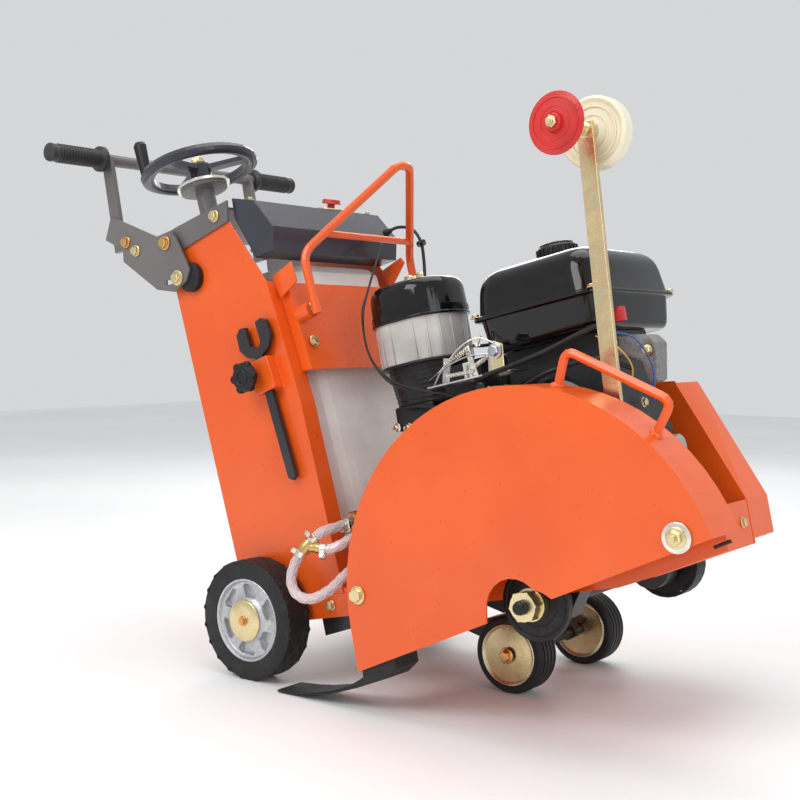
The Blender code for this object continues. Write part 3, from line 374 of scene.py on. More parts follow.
def plate(outline, low, high, flat="XZ"):
    """A circle's points are put on an outline, which is then drawn out to a thickness."""
    deselect()
    bpy.ops.mesh.primitive_circle_add(vertices=len(outline), radius=0.01, fill_type="NGON")
    obj = bpy.context.object
    for vertex, (a, b) in zip(obj.data.vertices, outline):
        vertex.co = (a, low, b) if flat == "XZ" else (a, b, low)
    bpy.ops.object.mode_set(mode="EDIT")
    bpy.ops.mesh.select_all(action="SELECT")
    move = (0, high - low, 0) if flat == "XZ" else (0, 0, high - low)
    bpy.ops.mesh.extrude_region_move(TRANSFORM_OT_translate={"value": move})
    bpy.ops.mesh.select_all(action="SELECT")
    bpy.ops.mesh.normals_make_consistent(inside=False)
    bpy.ops.object.mode_set(mode="OBJECT")
    return obj


def rounded_box(width, depth, corner, steps=12):
    points = []
    for quarter, (sx, sy) in enumerate(((1, 1), (-1, 1), (-1, -1), (1, -1))):
        for k in range(steps + 1):
            a = math.radians(90 * quarter + 90 * k / steps)
            points.append((sx * (width / 2 - corner) + corner * math.cos(a),
                           sy * (depth / 2 - corner) + corner * math.sin(a)))
    return points


def shell(outline, centre, levels):
    """An outline's face is drawn up through (height, scale) levels about a centre."""
    deselect()
    bpy.ops.mesh.primitive_circle_add(vertices=len(outline), radius=0.01, fill_type="NGON")
    obj = bpy.context.object
    low, held = levels[0]
    for vertex, (a, b) in zip(obj.data.vertices, outline):
        vertex.co = (a * held, b * held, low)
    bpy.ops.object.mode_set(mode="EDIT")
    bpy.ops.mesh.select_all(action="SELECT")
    for height, scale in levels[1:]:
        bpy.ops.mesh.extrude_region_move(TRANSFORM_OT_translate={"value": (0, 0, height - low)})
        bpy.ops.transform.resize(value=(scale / held, scale / held, 1), center_override=(0, 0, height))
        low, held = height, scale
    bpy.ops.mesh.select_all(action="SELECT")
    bpy.ops.mesh.normals_make_consistent(inside=False)
    bpy.ops.object.mode_set(mode="OBJECT")
    obj.data.transform(Matrix.Translation((centre[0], centre[1], 0)))
    return obj


def brick(centre, size, turn=None, bevel=0.001):
    deselect()
    bpy.ops.mesh.primitive_cube_add(size=1, location=(0, 0, 0))
    obj = bpy.context.object
    obj.scale = size
    bpy.ops.object.transform_apply(location=True, rotation=True, scale=True)
    soften(obj, bevel)
    obj.data.transform(Matrix.Translation(centre) @ (turn or Matrix.Identity(4)))
    return obj


def soften(obj, width, segments=2, angle=35):
    if width:
        edge = obj.modifiers.new("edge", "BEVEL")
        edge.width = width
        edge.segments = segments
        edge.limit_method = "ANGLE"
        edge.angle_limit = math.radians(angle)
        bpy.context.view_layer.objects.active = obj
        bpy.ops.object.modifier_apply(modifier="edge")
    return obj


def ring(centre, axis, major, minor, around=40, thick=10):
    deselect()
    bpy.ops.mesh.primitive_torus_add(major_radius=major, minor_radius=minor, major_segments=around,
                                     minor_segments=thick)
    obj = bpy.context.object
    obj.data.transform(Matrix.Translation(centre) @ turn_to(axis))
    return obj


def pipe(route, radius, resolution=3, closed=False):
    """A wire or hose along a route."""
    deselect()
    bpy.ops.curve.primitive_nurbs_path_add()
    obj = bpy.context.object
    curve = obj.data
    curve.splines.clear()
    curve.bevel_depth = radius
    curve.bevel_resolution = resolution
    curve.use_fill_caps = True
    spline = curve.splines.new("POLY")
    spline.points.add(len(route) - 1)
    spline.use_cyclic_u = closed
    for point, spot in zip(spline.points, route):
        point.co = (*spot, 1)
    obj.location = (0, 0, 0)
    bpy.ops.object.convert(target="MESH")
    return bpy.context.object


def smooth_route(points, steps):
    knots = [Vector(p) for p in points]
    knots = [2 * knots[0] - knots[1]] + knots + [2 * knots[-1] - knots[-2]]
    route = []
    for i in range(1, len(knots) - 2):
        a, b, c, d = knots[i - 1:i + 3]
        for k in range(steps):
            t = k / steps
            route.append(0.5 * (2 * b + (c - a) * t + (2 * a - 5 * b + 4 * c - d) * t ** 2
                                + (3 * b - a - 3 * c + d) * t ** 3))
    route.append(knots[-2])
    return route


def spring_route(start, end, radius, coils, per_coil=12):
    start, end = Vector(start), Vector(end)
    turn = turn_to(end - start)
    length = (end - start).length
    count = coils * per_coil
    return [start + turn @ Vector((radius * math.cos(2 * math.pi * k / per_coil),
                                   radius * math.sin(2 * math.pi * k / per_coil), length * k / count))
            for k in range(count + 1)]


def join(parts):
    deselect()
    for part in parts:
        part.select_set(True)
    bpy.context.view_layer.objects.active = parts[0]
    bpy.ops.object.join()
    return bpy.context.object


def hole(obj, tool):
    cut = obj.modifiers.new("hole", "BOOLEAN")
    cut.operation = "DIFFERENCE"
    cut.solver = "EXACT"
    cut.object = tool
    deselect()
    bpy.context.view_layer.objects.active = obj
    bpy.ops.object.modifier_apply(modifier="hole")
    bpy.data.objects.remove(tool, do_unlink=True)
    return obj


def hex_bolt(name, at, axis, size, body, finish="zinc", washer=1.25, shank=0.0):
    """A washer, a chamfered hexagon and the end of a thread, as one piece."""
    axis = Vector(axis).normalized()
    half = size / 2
    disc = lathe([(half * washer * 1.02, 0), (half * washer * 1.08, size * 0.05),
                  (half * washer * 1.08, size * 0.12),
                  (half * washer, size * 0.15)], 28, at, axis)
    base = Vector(at) + axis * size * 0.14
    head = lathe([(half * 1.12, 0), (half * 1.15, size * 0.04), (half * 1.15, size * 0.36),
                  (half * 1.0, size * 0.44),
                  (half * 0.6, size * 0.45)], 6, base, axis)
    parts = [disc, head]
    if shank:
        parts.append(lathe([(half * 0.56, 0), (half * 0.56, shank * 0.9), (half * 0.46, shank)], 20,
                           base + axis * size * 0.42, axis))
    return settle(join(parts), name, body, finish, 30)


# ---- wheels --------------------------------------------------------------------------
def rear_wheel(side, sign):
    centre = Vector((0, sign * 0.210, 0))
    body = "rear_wheel_" + side
    r, w = REAR_R, 0.025
    tyre = lathe([(0.0695, -w + 0.001), (0.0700, -w), (0.0960, -w), (0.0985, -w + 0.0012), (0.0990, -w + 0.003),
                  (0.0985, -w + 0.005), (0.0985, w - 0.005), (0.0990, w - 0.003), (0.0985, w - 0.0012), (0.0960, w),
                  (0.0700, w), (0.0695, w - 0.001)], 72, centre, Y, closed=True)
    count = 20
    step = 2 * math.pi * r / count
    blocks = []
    for row in range(-2, 3):
        for k in range(count):
            blocks.append((row * 0.0092, 2 * math.pi * (k + 0.5 * (row % 2)) / count))
    long, wide = step / 2 - 0.0006, 0.0088
    lug = plate([(-long, 0), (0, -wide), (long, 0), (0, wide)], 0.0966, r - 0.0011, flat="XY")
    soften(lug, 0.0005, 1)
    master = lug.data
    bm = bmesh.new()
    for row, angle in blocks:
        spot = Matrix.Translation(centre) @ Matrix.Rotation(angle, 4, "Y") @ Matrix.Translation((0, row, 0))
        copied = master.copy()
        copied.transform(spot)
        bm.from_mesh(copied)
        bpy.data.meshes.remove(copied)
    bm.to_mesh(master)
    bm.free()
    settle(join([tyre, lug]), "tyre_" + body, body, "rubber", 40)
    out = Y * sign
    rim = lathe([(0.0694, 0.0238), (0.0680, 0.0246), (0.0655, 0.0240), (0.0640, 0.0200), (0.0620, 0.0165),
                 (0.0400, 0.0185), (0.0360, 0.0215), (0.0330, 0.0250), (0.0104, 0.0250), (0.0104, -0.0220),
                 (0.0300, -0.0220), (0.0330, 0.0020), (0.0640, 0.0020), (0.0660, -0.0220), (0.0694, -0.0238)], 72,
                 centre,
                out, closed=True)
    for k in range(6):
        angle = math.radians(60 * k + 12)
        outline = []
        for radius, spread in ((0.0395, 15), (0.0395, -15), (0.0560, -20), (0.0605, -15), (0.0605, 15),
                               (0.0560, 20)):
            a = angle + math.radians(spread)
            outline.append((radius * math.cos(a), radius * math.sin(a)))
        low, high = sorted((centre.y + sign * 0.0085, centre.y + sign * 0.03))
        hole(rim, plate(outline, low, high))
    soften(rim, 0.0006, 1, 50)
    settle(rim, "rim_" + body, body, "aluminium", 35)
    cap = lathe([(0.0345, 0.0252), (0.0350, 0.0262), (0.0345, 0.0285), (0.0325, 0.0298), (0.0200, 0.0304),
                 (0.006, 0.0304)], 48, centre, out)
    settle(cap, "cap_" + body, "chassis", "zinc")
    hex_bolt("cap_bolt_" + body, centre + out * 0.0305, out, 0.012, "chassis", "copper", 1.3)


def front_wheel(side, y):
    centre = Vector((FRONT_AXLE[0], y, FRONT_AXLE[1]))
    body = "front_wheel_" + side
    w, r = 0.025, FRONT_R
    profile = [(0.0480, -w + 0.003), (0.0495, -w), (r - 0.005, -w), (r - 0.0015, -w + 0.003), (r, -w + 0.006)]
    for k in range(4):
        y0 = -0.0150 + 0.010 * k
        profile += [(r, y0 - 0.0016), (r - 0.0040, y0 - 0.0008), (r - 0.0040, y0 + 0.0008), (r, y0 + 0.0016)]
    profile += [(r, w - 0.006), (r - 0.0015, w - 0.003), (r - 0.005, w), (0.0495, w), (0.0480, w - 0.003)]
    settle(lathe(profile, 64, centre, Y, closed=True), "tyre_" + body, body, "rubber", 30)
    for face, out in (("outer", Y * -1), ("inner", Y)):
        dish = lathe([(0.0486, 0.012), (0.0486, 0.0240), (0.0470, 0.0256), (0.0450, 0.0246), (0.0435, 0.0236),
                      (0.0250, 0.0246), (0.0090, 0.0250), (0.0084, 0.0120)], 56, centre, out, closed=True)
        settle(dish, "dish_" + body + "_" + face, body, "zinc")
        settle(ring(centre + out * 0.0248, out, 0.0482, 0.0010, 56, 8), "bead_" + body + "_" + face, body,
               "cream_zinc")


def wheels():
    for side, sign in (("right", -1), ("left", 1)):
        rear_wheel(side, sign)
        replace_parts(bpy.data.objects["tyre_rear_wheel_" + side], "rear_wheel_" + side)
    for side, y in (("right", -0.010), ("left", 0.217)):
        front_wheel(side, y)
        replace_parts(bpy.data.objects["tyre_front_wheel_" + side], "front_wheel_" + side)
    for side, y, out in (("right", -0.0391, -1), ("left", 0.2461, 1)):
        spot = (FRONT_AXLE[0], y, FRONT_AXLE[1])
        hex_bolt("front_axle_bolt_" + side, spot, (0, out, 0), 0.016, "swing_arm", "copper", 1.5)


# ---- guard, blade shaft and chassis ---------------------------------------------------------
def guard_fittings():
    rear, front = (0.275, GUARD_FACE - 0.0003, 0.024), (0.810, GUARD_FACE - 0.0003, 0.052)
    hex_bolt("guard_hinge_bolt", rear, -Y, 0.019, "guard", "zinc", 1.35)
    washer = lathe([(0.0190, 0), (0.0200, 0.0008), (0.0200, 0.0030), (0.0185, 0.0036), (0.008, 0.0036)], 40,
                   front, -Y)
    settle(washer, "guard_stud_washer", "guard", "cream_zinc")
    hex_bolt("guard_stud_nut", Vector(front) - Y * 0.0038, -Y, 0.018, "guard", "zinc", 1.45, 0.007)
    for k, (x, z) in enumerate(((0.651, 0.268), (0.784, 0.182))):
        out = (Vector((x, 0, z)) - Vector((SHAFT[0], 0, SHAFT[1]))).normalized()
        seat = Vector((SHAFT[0], -0.217, SHAFT[1])) + out * 0.3061
        bead = lathe([(0.0105, 0), (0.0098, 0.0018), (0.0082, 0.0034), (0.0068, 0.0046)], 24, seat, out)
        settle(bead, "grab_weld_%d" % k, "guard", "orange", 60)
    # Painted shadow: a thin black plate fills the gap between the guard's front end and the side plate, where there
    # is only shade.
    gap_shadow_plate = plate([(0.8150, 0.0300), (0.8400, 0.0360), (0.8420, 0.0310), (0.8165, 0.0250)], -0.1754, -0.1720)
    settle(soften(gap_shadow_plate, 0.001), "guard_gap_shadow", "chassis", "casting")


def shaft_fittings():
    centre = Vector((SHAFT[0], 0, SHAFT[1]))
    tip = lathe([(0.0088, 0), (0.0088, 0.0030), (0.0070, 0.0042), (0.0030, 0.0042)], 28, centre - Y * 0.2567, -Y)
    settle(tip, "shaft_end", "blade_shaft", "iron")
    for k, (a, b) in enumerate(((0.0475, 0.0016), (0.0330, 0.0012))):
        settle(ring(centre - Y * 0.2141, Y, a, b, 60, 8), "flange_ridge_%d" % k, "blade_shaft", "iron")
    seal = lathe([(0.0250, 0), (0.0250, 0.003), (0.0225, 0.0045), (0.0160, 0.0045)], 36, centre + Y * 0.1752, Y)
    settle(seal, "bearing_seal_left", "chassis", "steel")


def chassis_fittings():
    for k, (x, z) in enumerate(((0.060, 0.004), (0.140, 0.004), (-0.020, 0.003))):
        hex_bolt("base_bolt_%d" % k, (x, -HALF - 0.0003, z), -Y, 0.013, "chassis", "zinc", 1.3)
    for k, x in enumerate((0.20, 0.34, 0.48, 0.66)):
        hex_bolt("deck_bolt_%d" % k, (x, -0.150, 0.0233), Z, 0.013, "chassis", "zinc", 1.4)
        hex_bolt("deck_bolt_left_%d" % k, (x, 0.128, 0.0233), Z, 0.013, "chassis", "zinc", 1.4)
    for k, y in enumerate((-0.11, -0.02, 0.07, 0.14)):
        hex_bolt("nose_bolt_%d" % k, (0.7243, y, 0.034), X, 0.012, "chassis", "zinc", 1.3)
    for k, (x, z) in enumerate(((0.500, 0.060), (0.520, 0.100), (0.655, 0.150), (0.590, 0.235))):
        hex_bolt("cover_bolt_%d" % k, (x, 0.2623, z), Y, 0.011, "chassis", "zinc", 1.6)
    vent = []
    for k in range(5):
        low, high, top = 0.516 + 0.024 * k, 0.524 + 0.024 * k, 0.225 - 0.004 * k
        outline = [(low, 0.170), (high, 0.170), (high, top), (low, top)]
        vent.append(soften(plate(outline, 0.2622, 0.2632), 0.0004, 1))
    settle(join(vent), "cover_louvres", "chassis", "casting")
    for k, x in enumerate((0.020, 0.085)):
        slot_rim = plate([(x - 0.012, 0.020), (x + 0.012, 0.020), (x + 0.012, 0.026), (x - 0.012, 0.026)],
                         -HALF - 0.0022, -HALF - 0.0002)
        settle(soften(slot_rim, 0.0008), "base_weld_%d" % k, "chassis", "orange", 60)


# ---- tower, yoke and console ------------------------------------------------------------------
def tower_fittings():
    for side, sign in (("right", -1), ("left", 1)):
        y = sign * 0.1913
        hex_bolt("handle_pivot_bolt_" + side, (-0.101, y, 0.672), (0, sign, 0), 0.017, "handle", "copper", 1.4)
        hex_bolt("handle_clamp_bolt_" + side, (-0.083, y, 0.604), (0, sign, 0), 0.017, "handle", "zinc", 1.5)
        hex_bolt("upright_bolt_" + side, (-0.203, y, 0.700), (0, sign, 0), 0.015, "handle", "copper", 1.3)
        hex_bolt("upright_bolt_low_" + side, (-0.180, y, 0.678), (0, sign, 0), 0.015, "handle", "zinc", 1.3)
        hex_bolt("yoke_bolt_" + side, (0.019, sign * 0.1796, 0.689), (0, sign, 0), 0.015, "chassis", "zinc", 1.3)
        hex_bolt("brace_bolt_" + side, (0.1545, sign * 0.1300, 0.440), (1, 0, 0.16), 0.013, "chassis", "zinc", 1.4)
        hex_bolt("bail_nut_" + side, (0.1705, sign * 0.137, 0.491), (1, 0, 0.16), 0.015, "chassis", "zinc", 1.5,
                 0.006)
        for k, z in enumerate((0.10, 0.30, 0.52)):
            x = -0.0625 - (z - 0.100) * 0.0979
            hex_bolt("back_screw_%s_%d" % (side, k), (x + 0.0035, sign * 0.155, z), (-1, 0, -0.1), 0.009, "chassis",
                     "zinc", 1.7)
    ear = plate([(0.100, 0.585), (0.152, 0.600), (0.158, 0.588), (0.118, 0.548)], 0.1530, 0.1565)
    settle(soften(ear, 0.001), "bail_ear_left", "chassis", "orange")
    ear = plate([(0.112, 0.560), (0.158, 0.575), (0.164, 0.540), (0.122, 0.520)], -0.1600, -0.1565)
    settle(soften(ear, 0.001), "bail_ear_right", "chassis", "orange")


def tank_fittings():
    ribs = []
    for k in range(18):
        a = 2 * math.pi * k / 18
        ribs.append(brick((-0.015 + 0.0242 * math.cos(a), 0.110 + 0.0242 * math.sin(a), 0.6000),
                          (0.0022, 0.0022, 0.015), Matrix.Identity(4), 0.0005))
    settle(join(ribs), "tank_cap_ribs", "tank_cap", "black_plastic")


def console_fittings():
    lean = Vector((0.018, 0, 0.0505)).normalized()
    seat = Vector((0.080, 0.060, 0.7031))
    settle(lathe([(0.0230, 0), (0.0235, 0.001), (0.0225, 0.0030), (0.0130, 0.0034), (0.0125, 0.0004)], 40, seat,
                 lean,
                 closed=True), "stop_button_collar", "chassis", "zinc")
    for k, y in enumerate((-0.158, 0.158)):
        hex_bolt("console_screw_%d" % k, (0.0870, y, 0.7009), lean, 0.008, "chassis", "zinc", 1.6)
    boot = lathe([(0.0070, 0), (0.0075, 0.003), (0.0058, 0.008), (0.0045, 0.014), (0.0032, 0.016)], 24,
                 (0.1392, 0.134, 0.6470), (1, 0.1, 0.2))
    settle(boot, "cable_boot", "chassis", "rubber")


def head_fittings():
    flange = on_screw(0.7655)
    holes = lathe([(0.0470, 0), (0.0475, 0.0010), (0.0475, 0.0046), (0.0465, 0.0055), (0.0120, 0.0055),
                   (0.0120, 0.0)],
                  60, flange, SCREW_AXIS, closed=True)
    turn = turn_to(SCREW_AXIS)
    for k in range(8):
        a = 2 * math.pi * k / 8
        spot = flange + turn @ Vector((0.0350 * math.cos(a), 0.0350 * math.sin(a), -0.004))
        hole(holes, lathe([(0.0045, 0), (0.0045, 0.014)], 20, spot, SCREW_AXIS))
    settle(holes, "screw_flange", "chassis", "cream_zinc", 35)
    for k in range(4):
        a = 2 * math.pi * (k + 0.5) / 4
        spot = on_screw(0.700) + turn @ Vector((0.0235 * math.cos(a), 0.0235 * math.sin(a), 0))
        hex_bolt("post_bolt_%d" % k, spot, SCREW_AXIS, 0.009, "chassis", "zinc", 1.4)
    top = on_screw(0.8102)
    hex_bolt("handwheel_nut", top, SCREW_AXIS, 0.020, "handwheel", "zinc", 1.3, 0.006)
    rib = ring(on_screw(0.800), SCREW_AXIS, 0.0945, 0.0098, 96, 20)
    settle(rib, "handwheel_rim", "handwheel", "slate", 60)


def grips():
    for side, sign in (("right", -1), ("left", 1)):
        centre = Vector((-0.231, 0, 0.865))
        ridges = []
        for k in range(14):
            ridges.append(ring(centre + Y * sign * (0.214 + 0.0062 * k), Y, 0.0160, 0.0013, 28, 6))
        settle(join(ridges), "grip_ridges_" + side, "handle", "grip", 60)
        end = lathe([(0.0160, 0), (0.0168, 0.001), (0.0160, 0.0045), (0.010, 0.0062), (0.003, 0.0064)], 32,
                    centre + Y * sign * 0.3082, Y * sign)
        settle(end, "grip_end_" + side, "handle", "grip", 60)


# ---- engine ------------------------------------------------------------------------------------
def air_cleaner():
    centre = Vector((0.305, -0.025, 0))

    def oval(scale, z):
        width, depth, corner = 0.156 * scale, 0.140 * scale, 0.060 * scale
        points = []
        for quarter, (sx, sy) in enumerate(((1, 1), (-1, 1), (-1, -1), (1, -1))):
            for k in range(9):
                a = math.radians(90 * quarter + 11.25 * k)
                points.append(centre + Vector((sx * (width / 2 - corner) + corner * math.cos(a),
                                               sy * (depth / 2 - corner) + corner * math.sin(a), z)))
        return points

    outline = rounded_box(0.156, 0.140, 0.060)
    lid = [(0.4425, 0.995), (0.4430, 1.02), (0.4560, 1.02), (0.4566, 1.0), (0.4860, 0.985), (0.4940, 0.960),
           (0.5000, 0.915), (0.5035, 0.850), (0.5055, 0.760), (0.5062, 0.60)]
    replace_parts(settle(shell(outline, centre, lid), "cleaner_lid", "chassis", "gloss_black", 50),
                "air_cleaner_cover")
    bowl = [(0.3690, 0.90), (0.3700, 0.925), (0.3760, 0.938), (0.4410, 0.968)]
    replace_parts(settle(shell(outline, centre, bowl), "cleaner_bowl", "chassis", "bowl", 50),
                "air_cleaner_bowl")
    ribs = []
    for step in range(18):
        loop = oval(0.965, 0)
        spot = loop[int(step * 2)]
        away = (spot - centre).normalized()
        lean = Matrix.Rotation(math.atan2(away.y, away.x), 4, "Z")
        ribs.append(brick((spot.x, spot.y, 0.405), (0.0016, 0.0026, 0.064), Matrix.Identity(4), 0.0008))
        foot = Vector((spot.x, spot.y, 0))
        ribs[-1].data.transform(Matrix.Translation(foot) @ lean @ Matrix.Translation(-foot))
    settle(join(ribs), "bowl_ribs", "chassis", "bowl", 40)
    settle(pipe(oval(1.0, 0.4425), 0.0028, 2, True), "bowl_lip", "chassis", "gloss_black", 60)
    settle(pipe(oval(0.935, 0.3690), 0.0030, 2, True), "bowl_seat", "chassis", "black_plastic", 60)
    fins = []
    for k in range(8):
        scale = 0.735 + 0.011 * k
        fins.append(pipe(oval(scale, 0.3055 + 0.0075 * k), 0.0022, 2, True))
    settle(join(fins), "base_ribs", "chassis", "black_plastic", 60)
    top = centre + Z * 0.5062
    hub = lathe([(0.0100, 0), (0.0100, 0.003), (0.0060, 0.006), (0.0060, 0.012), (0.0040, 0.013)], 24, top, Z)
    wings = [brick(top + Vector((sx * 0.012, 0, 0.0105)), (0.016, 0.0035, 0.011), Matrix.Identity(4), 0.0015)
             for sx in (-1, 1)]
    settle(join([hub] + wings), "wing_nut", "chassis", "zinc")
    box = brick((0.300, -0.0705, 0.284), (0.080, 0.018, 0.040), Matrix.Identity(4), 0.004)
    settle(box, "breather_box", "chassis", "black_plastic")


def fuel_tank_fittings():
    centre = Vector((0.545, 0.040, 0.4905))
    levels = [(0.3552, 0.82), (0.3562, 0.845), (0.3590, 0.868), (0.3640, 0.885), (0.3720, 0.897), (0.4040, 0.925),
              (0.4052, 0.930), (0.4056, 0.985), (0.4066, 0.997), (0.4090, 1.0), (0.4114, 0.997), (0.4124, 0.985),
              (0.4130, 0.945), (0.4150, 0.938), (0.4480, 0.905), (0.4580, 0.888), (0.4660, 0.862), (0.4730, 0.820),
              (0.4785, 0.765), (0.4825, 0.700), (0.4855, 0.610), (0.4872, 0.500), (0.4880, 0.36)]
    body = settle(shell(rounded_box(0.232, 0.280, 0.034), (0.556, 0.045), levels), "fuel_tank_shell", "chassis",
                  "gloss_black", 50)
    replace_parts(body, "fuel_tank")
    ribs = []
    for k in range(24):
        a = 2 * math.pi * k / 24
        spot = Matrix.Translation(centre + Vector((0, 0, 0.0105))) @ Matrix.Rotation(a, 4, "Z")
        rib = brick((0.0325, 0, 0), (0.0030, 0.0042, 0.015), Matrix.Identity(4), 0.0009)
        rib.data.transform(spot)
        ribs.append(rib)
    settle(join(ribs), "fuel_cap_ribs", "fuel_cap", "black_plastic")
    crown = lathe([(0.0270, 0), (0.0270, 0.0020), (0.0235, 0.0036), (0.0080, 0.0040)], 40, centre + Z * 0.0222, Z)
    settle(crown, "fuel_cap_crown", "fuel_cap", "black_plastic")
    neck = lathe([(0.0370, -0.004), (0.0380, -0.001), (0.0350, 0.0015), (0.0310, 0.0015), (0.0310, -0.004)], 48,
                 centre, Z,
                 closed=True)
    settle(neck, "fuel_neck", "chassis", "cream_zinc")
    for k, (x, y) in enumerate(((0.452, -0.084), (0.660, -0.084), (0.660, 0.174), (0.452, 0.174))):
        hex_bolt("tank_bolt_%d" % k, (x, y, 0.4125), Z, 0.010, "chassis", "zinc", 1.5)
    bracket = plate([(0.6230, 0.3500), (0.7050, 0.3340), (0.7160, 0.3200), (0.7060, 0.2650), (0.6900, 0.2620),
                     (0.6850, 0.2950), (0.6600, 0.3100), (0.6230, 0.3180)], -0.020, 0.014)
    for x, z in ((0.645, 0.334), (0.698, 0.312)):
        hole(bracket, lathe([(0.007, 0), (0.007, 0.08)], 20, (x, -0.04, z), Y))
    settle(soften(bracket, 0.004, 3), "lifting_bracket", "chassis", "grey_cast")
    for k, (x, z) in enumerate(((0.645, 0.334), (0.698, 0.312))):
        hex_bolt("bracket_bolt_%d" % k, (x, -0.0203, z), -Y, 0.012, "chassis", "zinc", 1.3)
    tap = brick((0.668, -0.030, 0.372), (0.018, 0.016, 0.022), Matrix.Identity(4), 0.002)
    settle(tap, "fuel_tap", "chassis", "red")


def governor():
    tray = plate([(0.362, -0.118), (0.500, -0.118), (0.512, -0.104), (0.512, -0.052), (0.384, -0.052),
                  (0.362, -0.070)],
                 0.3190, 0.3215, flat="XY")
    for x, y, radius in ((0.382, -0.100, 0.004), (0.424, -0.084, 0.006), (0.470, -0.106, 0.0035)):
        hole(tray, lathe([(radius, 0), (radius, 0.02)], 18, (x, y, 0.31), Z))
    settle(soften(tray, 0.0006, 1), "governor_tray", "chassis", "steel")
    for k, (x, y, w, h, lean) in enumerate(((0.392, -0.100, 0.014, 0.040, 0.25),
                                            (0.436, -0.092, 0.010, 0.052, -0.2),
                                            (0.478, -0.100, 0.012, 0.036, 0.15),
                                            (0.410, -0.068, 0.016, 0.030, 0.0))):
        tab = brick((x, y, 0.3215 + h / 2), (w, 0.0022, h), Matrix.Rotation(lean, 4, "Y"), 0.0008)
        settle(tab, "governor_tab_%d" % k, "chassis", "cream_zinc" if k % 2 else "steel")
    for k, (a, b, radius, n) in enumerate((((0.392, -0.103, 0.352), (0.440, -0.103, 0.366), 0.0036, 12),
                                           ((0.438, -0.088, 0.340), (0.480, -0.104, 0.350), 0.0030, 14),
                                           ((0.398, -0.112, 0.332), (0.452, -0.112, 0.330), 0.0026, 16))):
        settle(pipe(spring_route(a, b, radius, n), 0.0007, 1), "governor_spring_%d" % k, "chassis", "cream_zinc",
               60)
    loops = (("governor_rod", [(0.345, -0.085, 0.335), (0.385, -0.104, 0.345), (0.430, -0.108, 0.372),
                               (0.462, -0.100, 0.380),
                               (0.492, -0.094, 0.362)], 0.0013, "cream_zinc"),
             ("choke_rod", [(0.372, -0.110, 0.324), (0.400, -0.117, 0.344), (0.452, -0.117, 0.354),
                            (0.505, -0.108, 0.346)],
              0.0014, "steel"),
             ("fuel_line", [(0.420, -0.070, 0.314), (0.462, -0.112, 0.318), (0.520, -0.118, 0.324),
                            (0.580, -0.112, 0.334),
                            (0.640, -0.092, 0.352), (0.662, -0.060, 0.362)], 0.0042, "rubber"),
             ("loom", [(0.400, -0.090, 0.274), (0.452, -0.116, 0.280), (0.520, -0.120, 0.286),
                       (0.588, -0.116, 0.304),
                       (0.650, -0.080, 0.310), (0.672, -0.030, 0.290)], 0.0036, "black_plastic"))
    for name, points, radius, finish in loops:
        settle(pipe(smooth_route(points, 6), radius, 2), name, "chassis", finish, 60)
    hex_bolt("choke_pivot", (0.500, -0.1185, 0.352), -Y, 0.015, "chassis", "steel", 1.5)
    stay = plate([(0.488, 0.322), (0.510, 0.322), (0.514, 0.360), (0.498, 0.368), (0.486, 0.352)], -0.1180, -0.1155)
    settle(soften(stay, 0.0006, 1), "choke_stay", "chassis", "zinc")
    knob = lathe([(0.0050, 0), (0.0080, 0.002), (0.0080, 0.010), (0.0060, 0.013)], 20, (0.470, -0.121, 0.3018), -Y)
    settle(knob, "throttle_knob", "throttle_lever", "black_plastic")
    screw = lathe([(0.0045, 0), (0.0045, 0.003), (0.002, 0.0032), (0.002, 0.018)], 16, (0.455, -0.098, 0.368),
                  (0.5, 0, 0.8))
    settle(screw, "idle_screw", "chassis", "cream_zinc")
    lump = brick((0.400, -0.030, 0.290), (0.060, 0.045, 0.050), Matrix.Identity(4), 0.006)
    settle(lump, "carburettor", "chassis", "aluminium")
    for k, (x, z) in enumerate(((0.262, 0.272), (0.286, 0.268))):
        hex_bolt("cleaner_stud_%d" % k, (x, -0.0797, z), (-0.2, -1, 0), 0.010, "chassis", "cream_zinc", 1.4, 0.007)


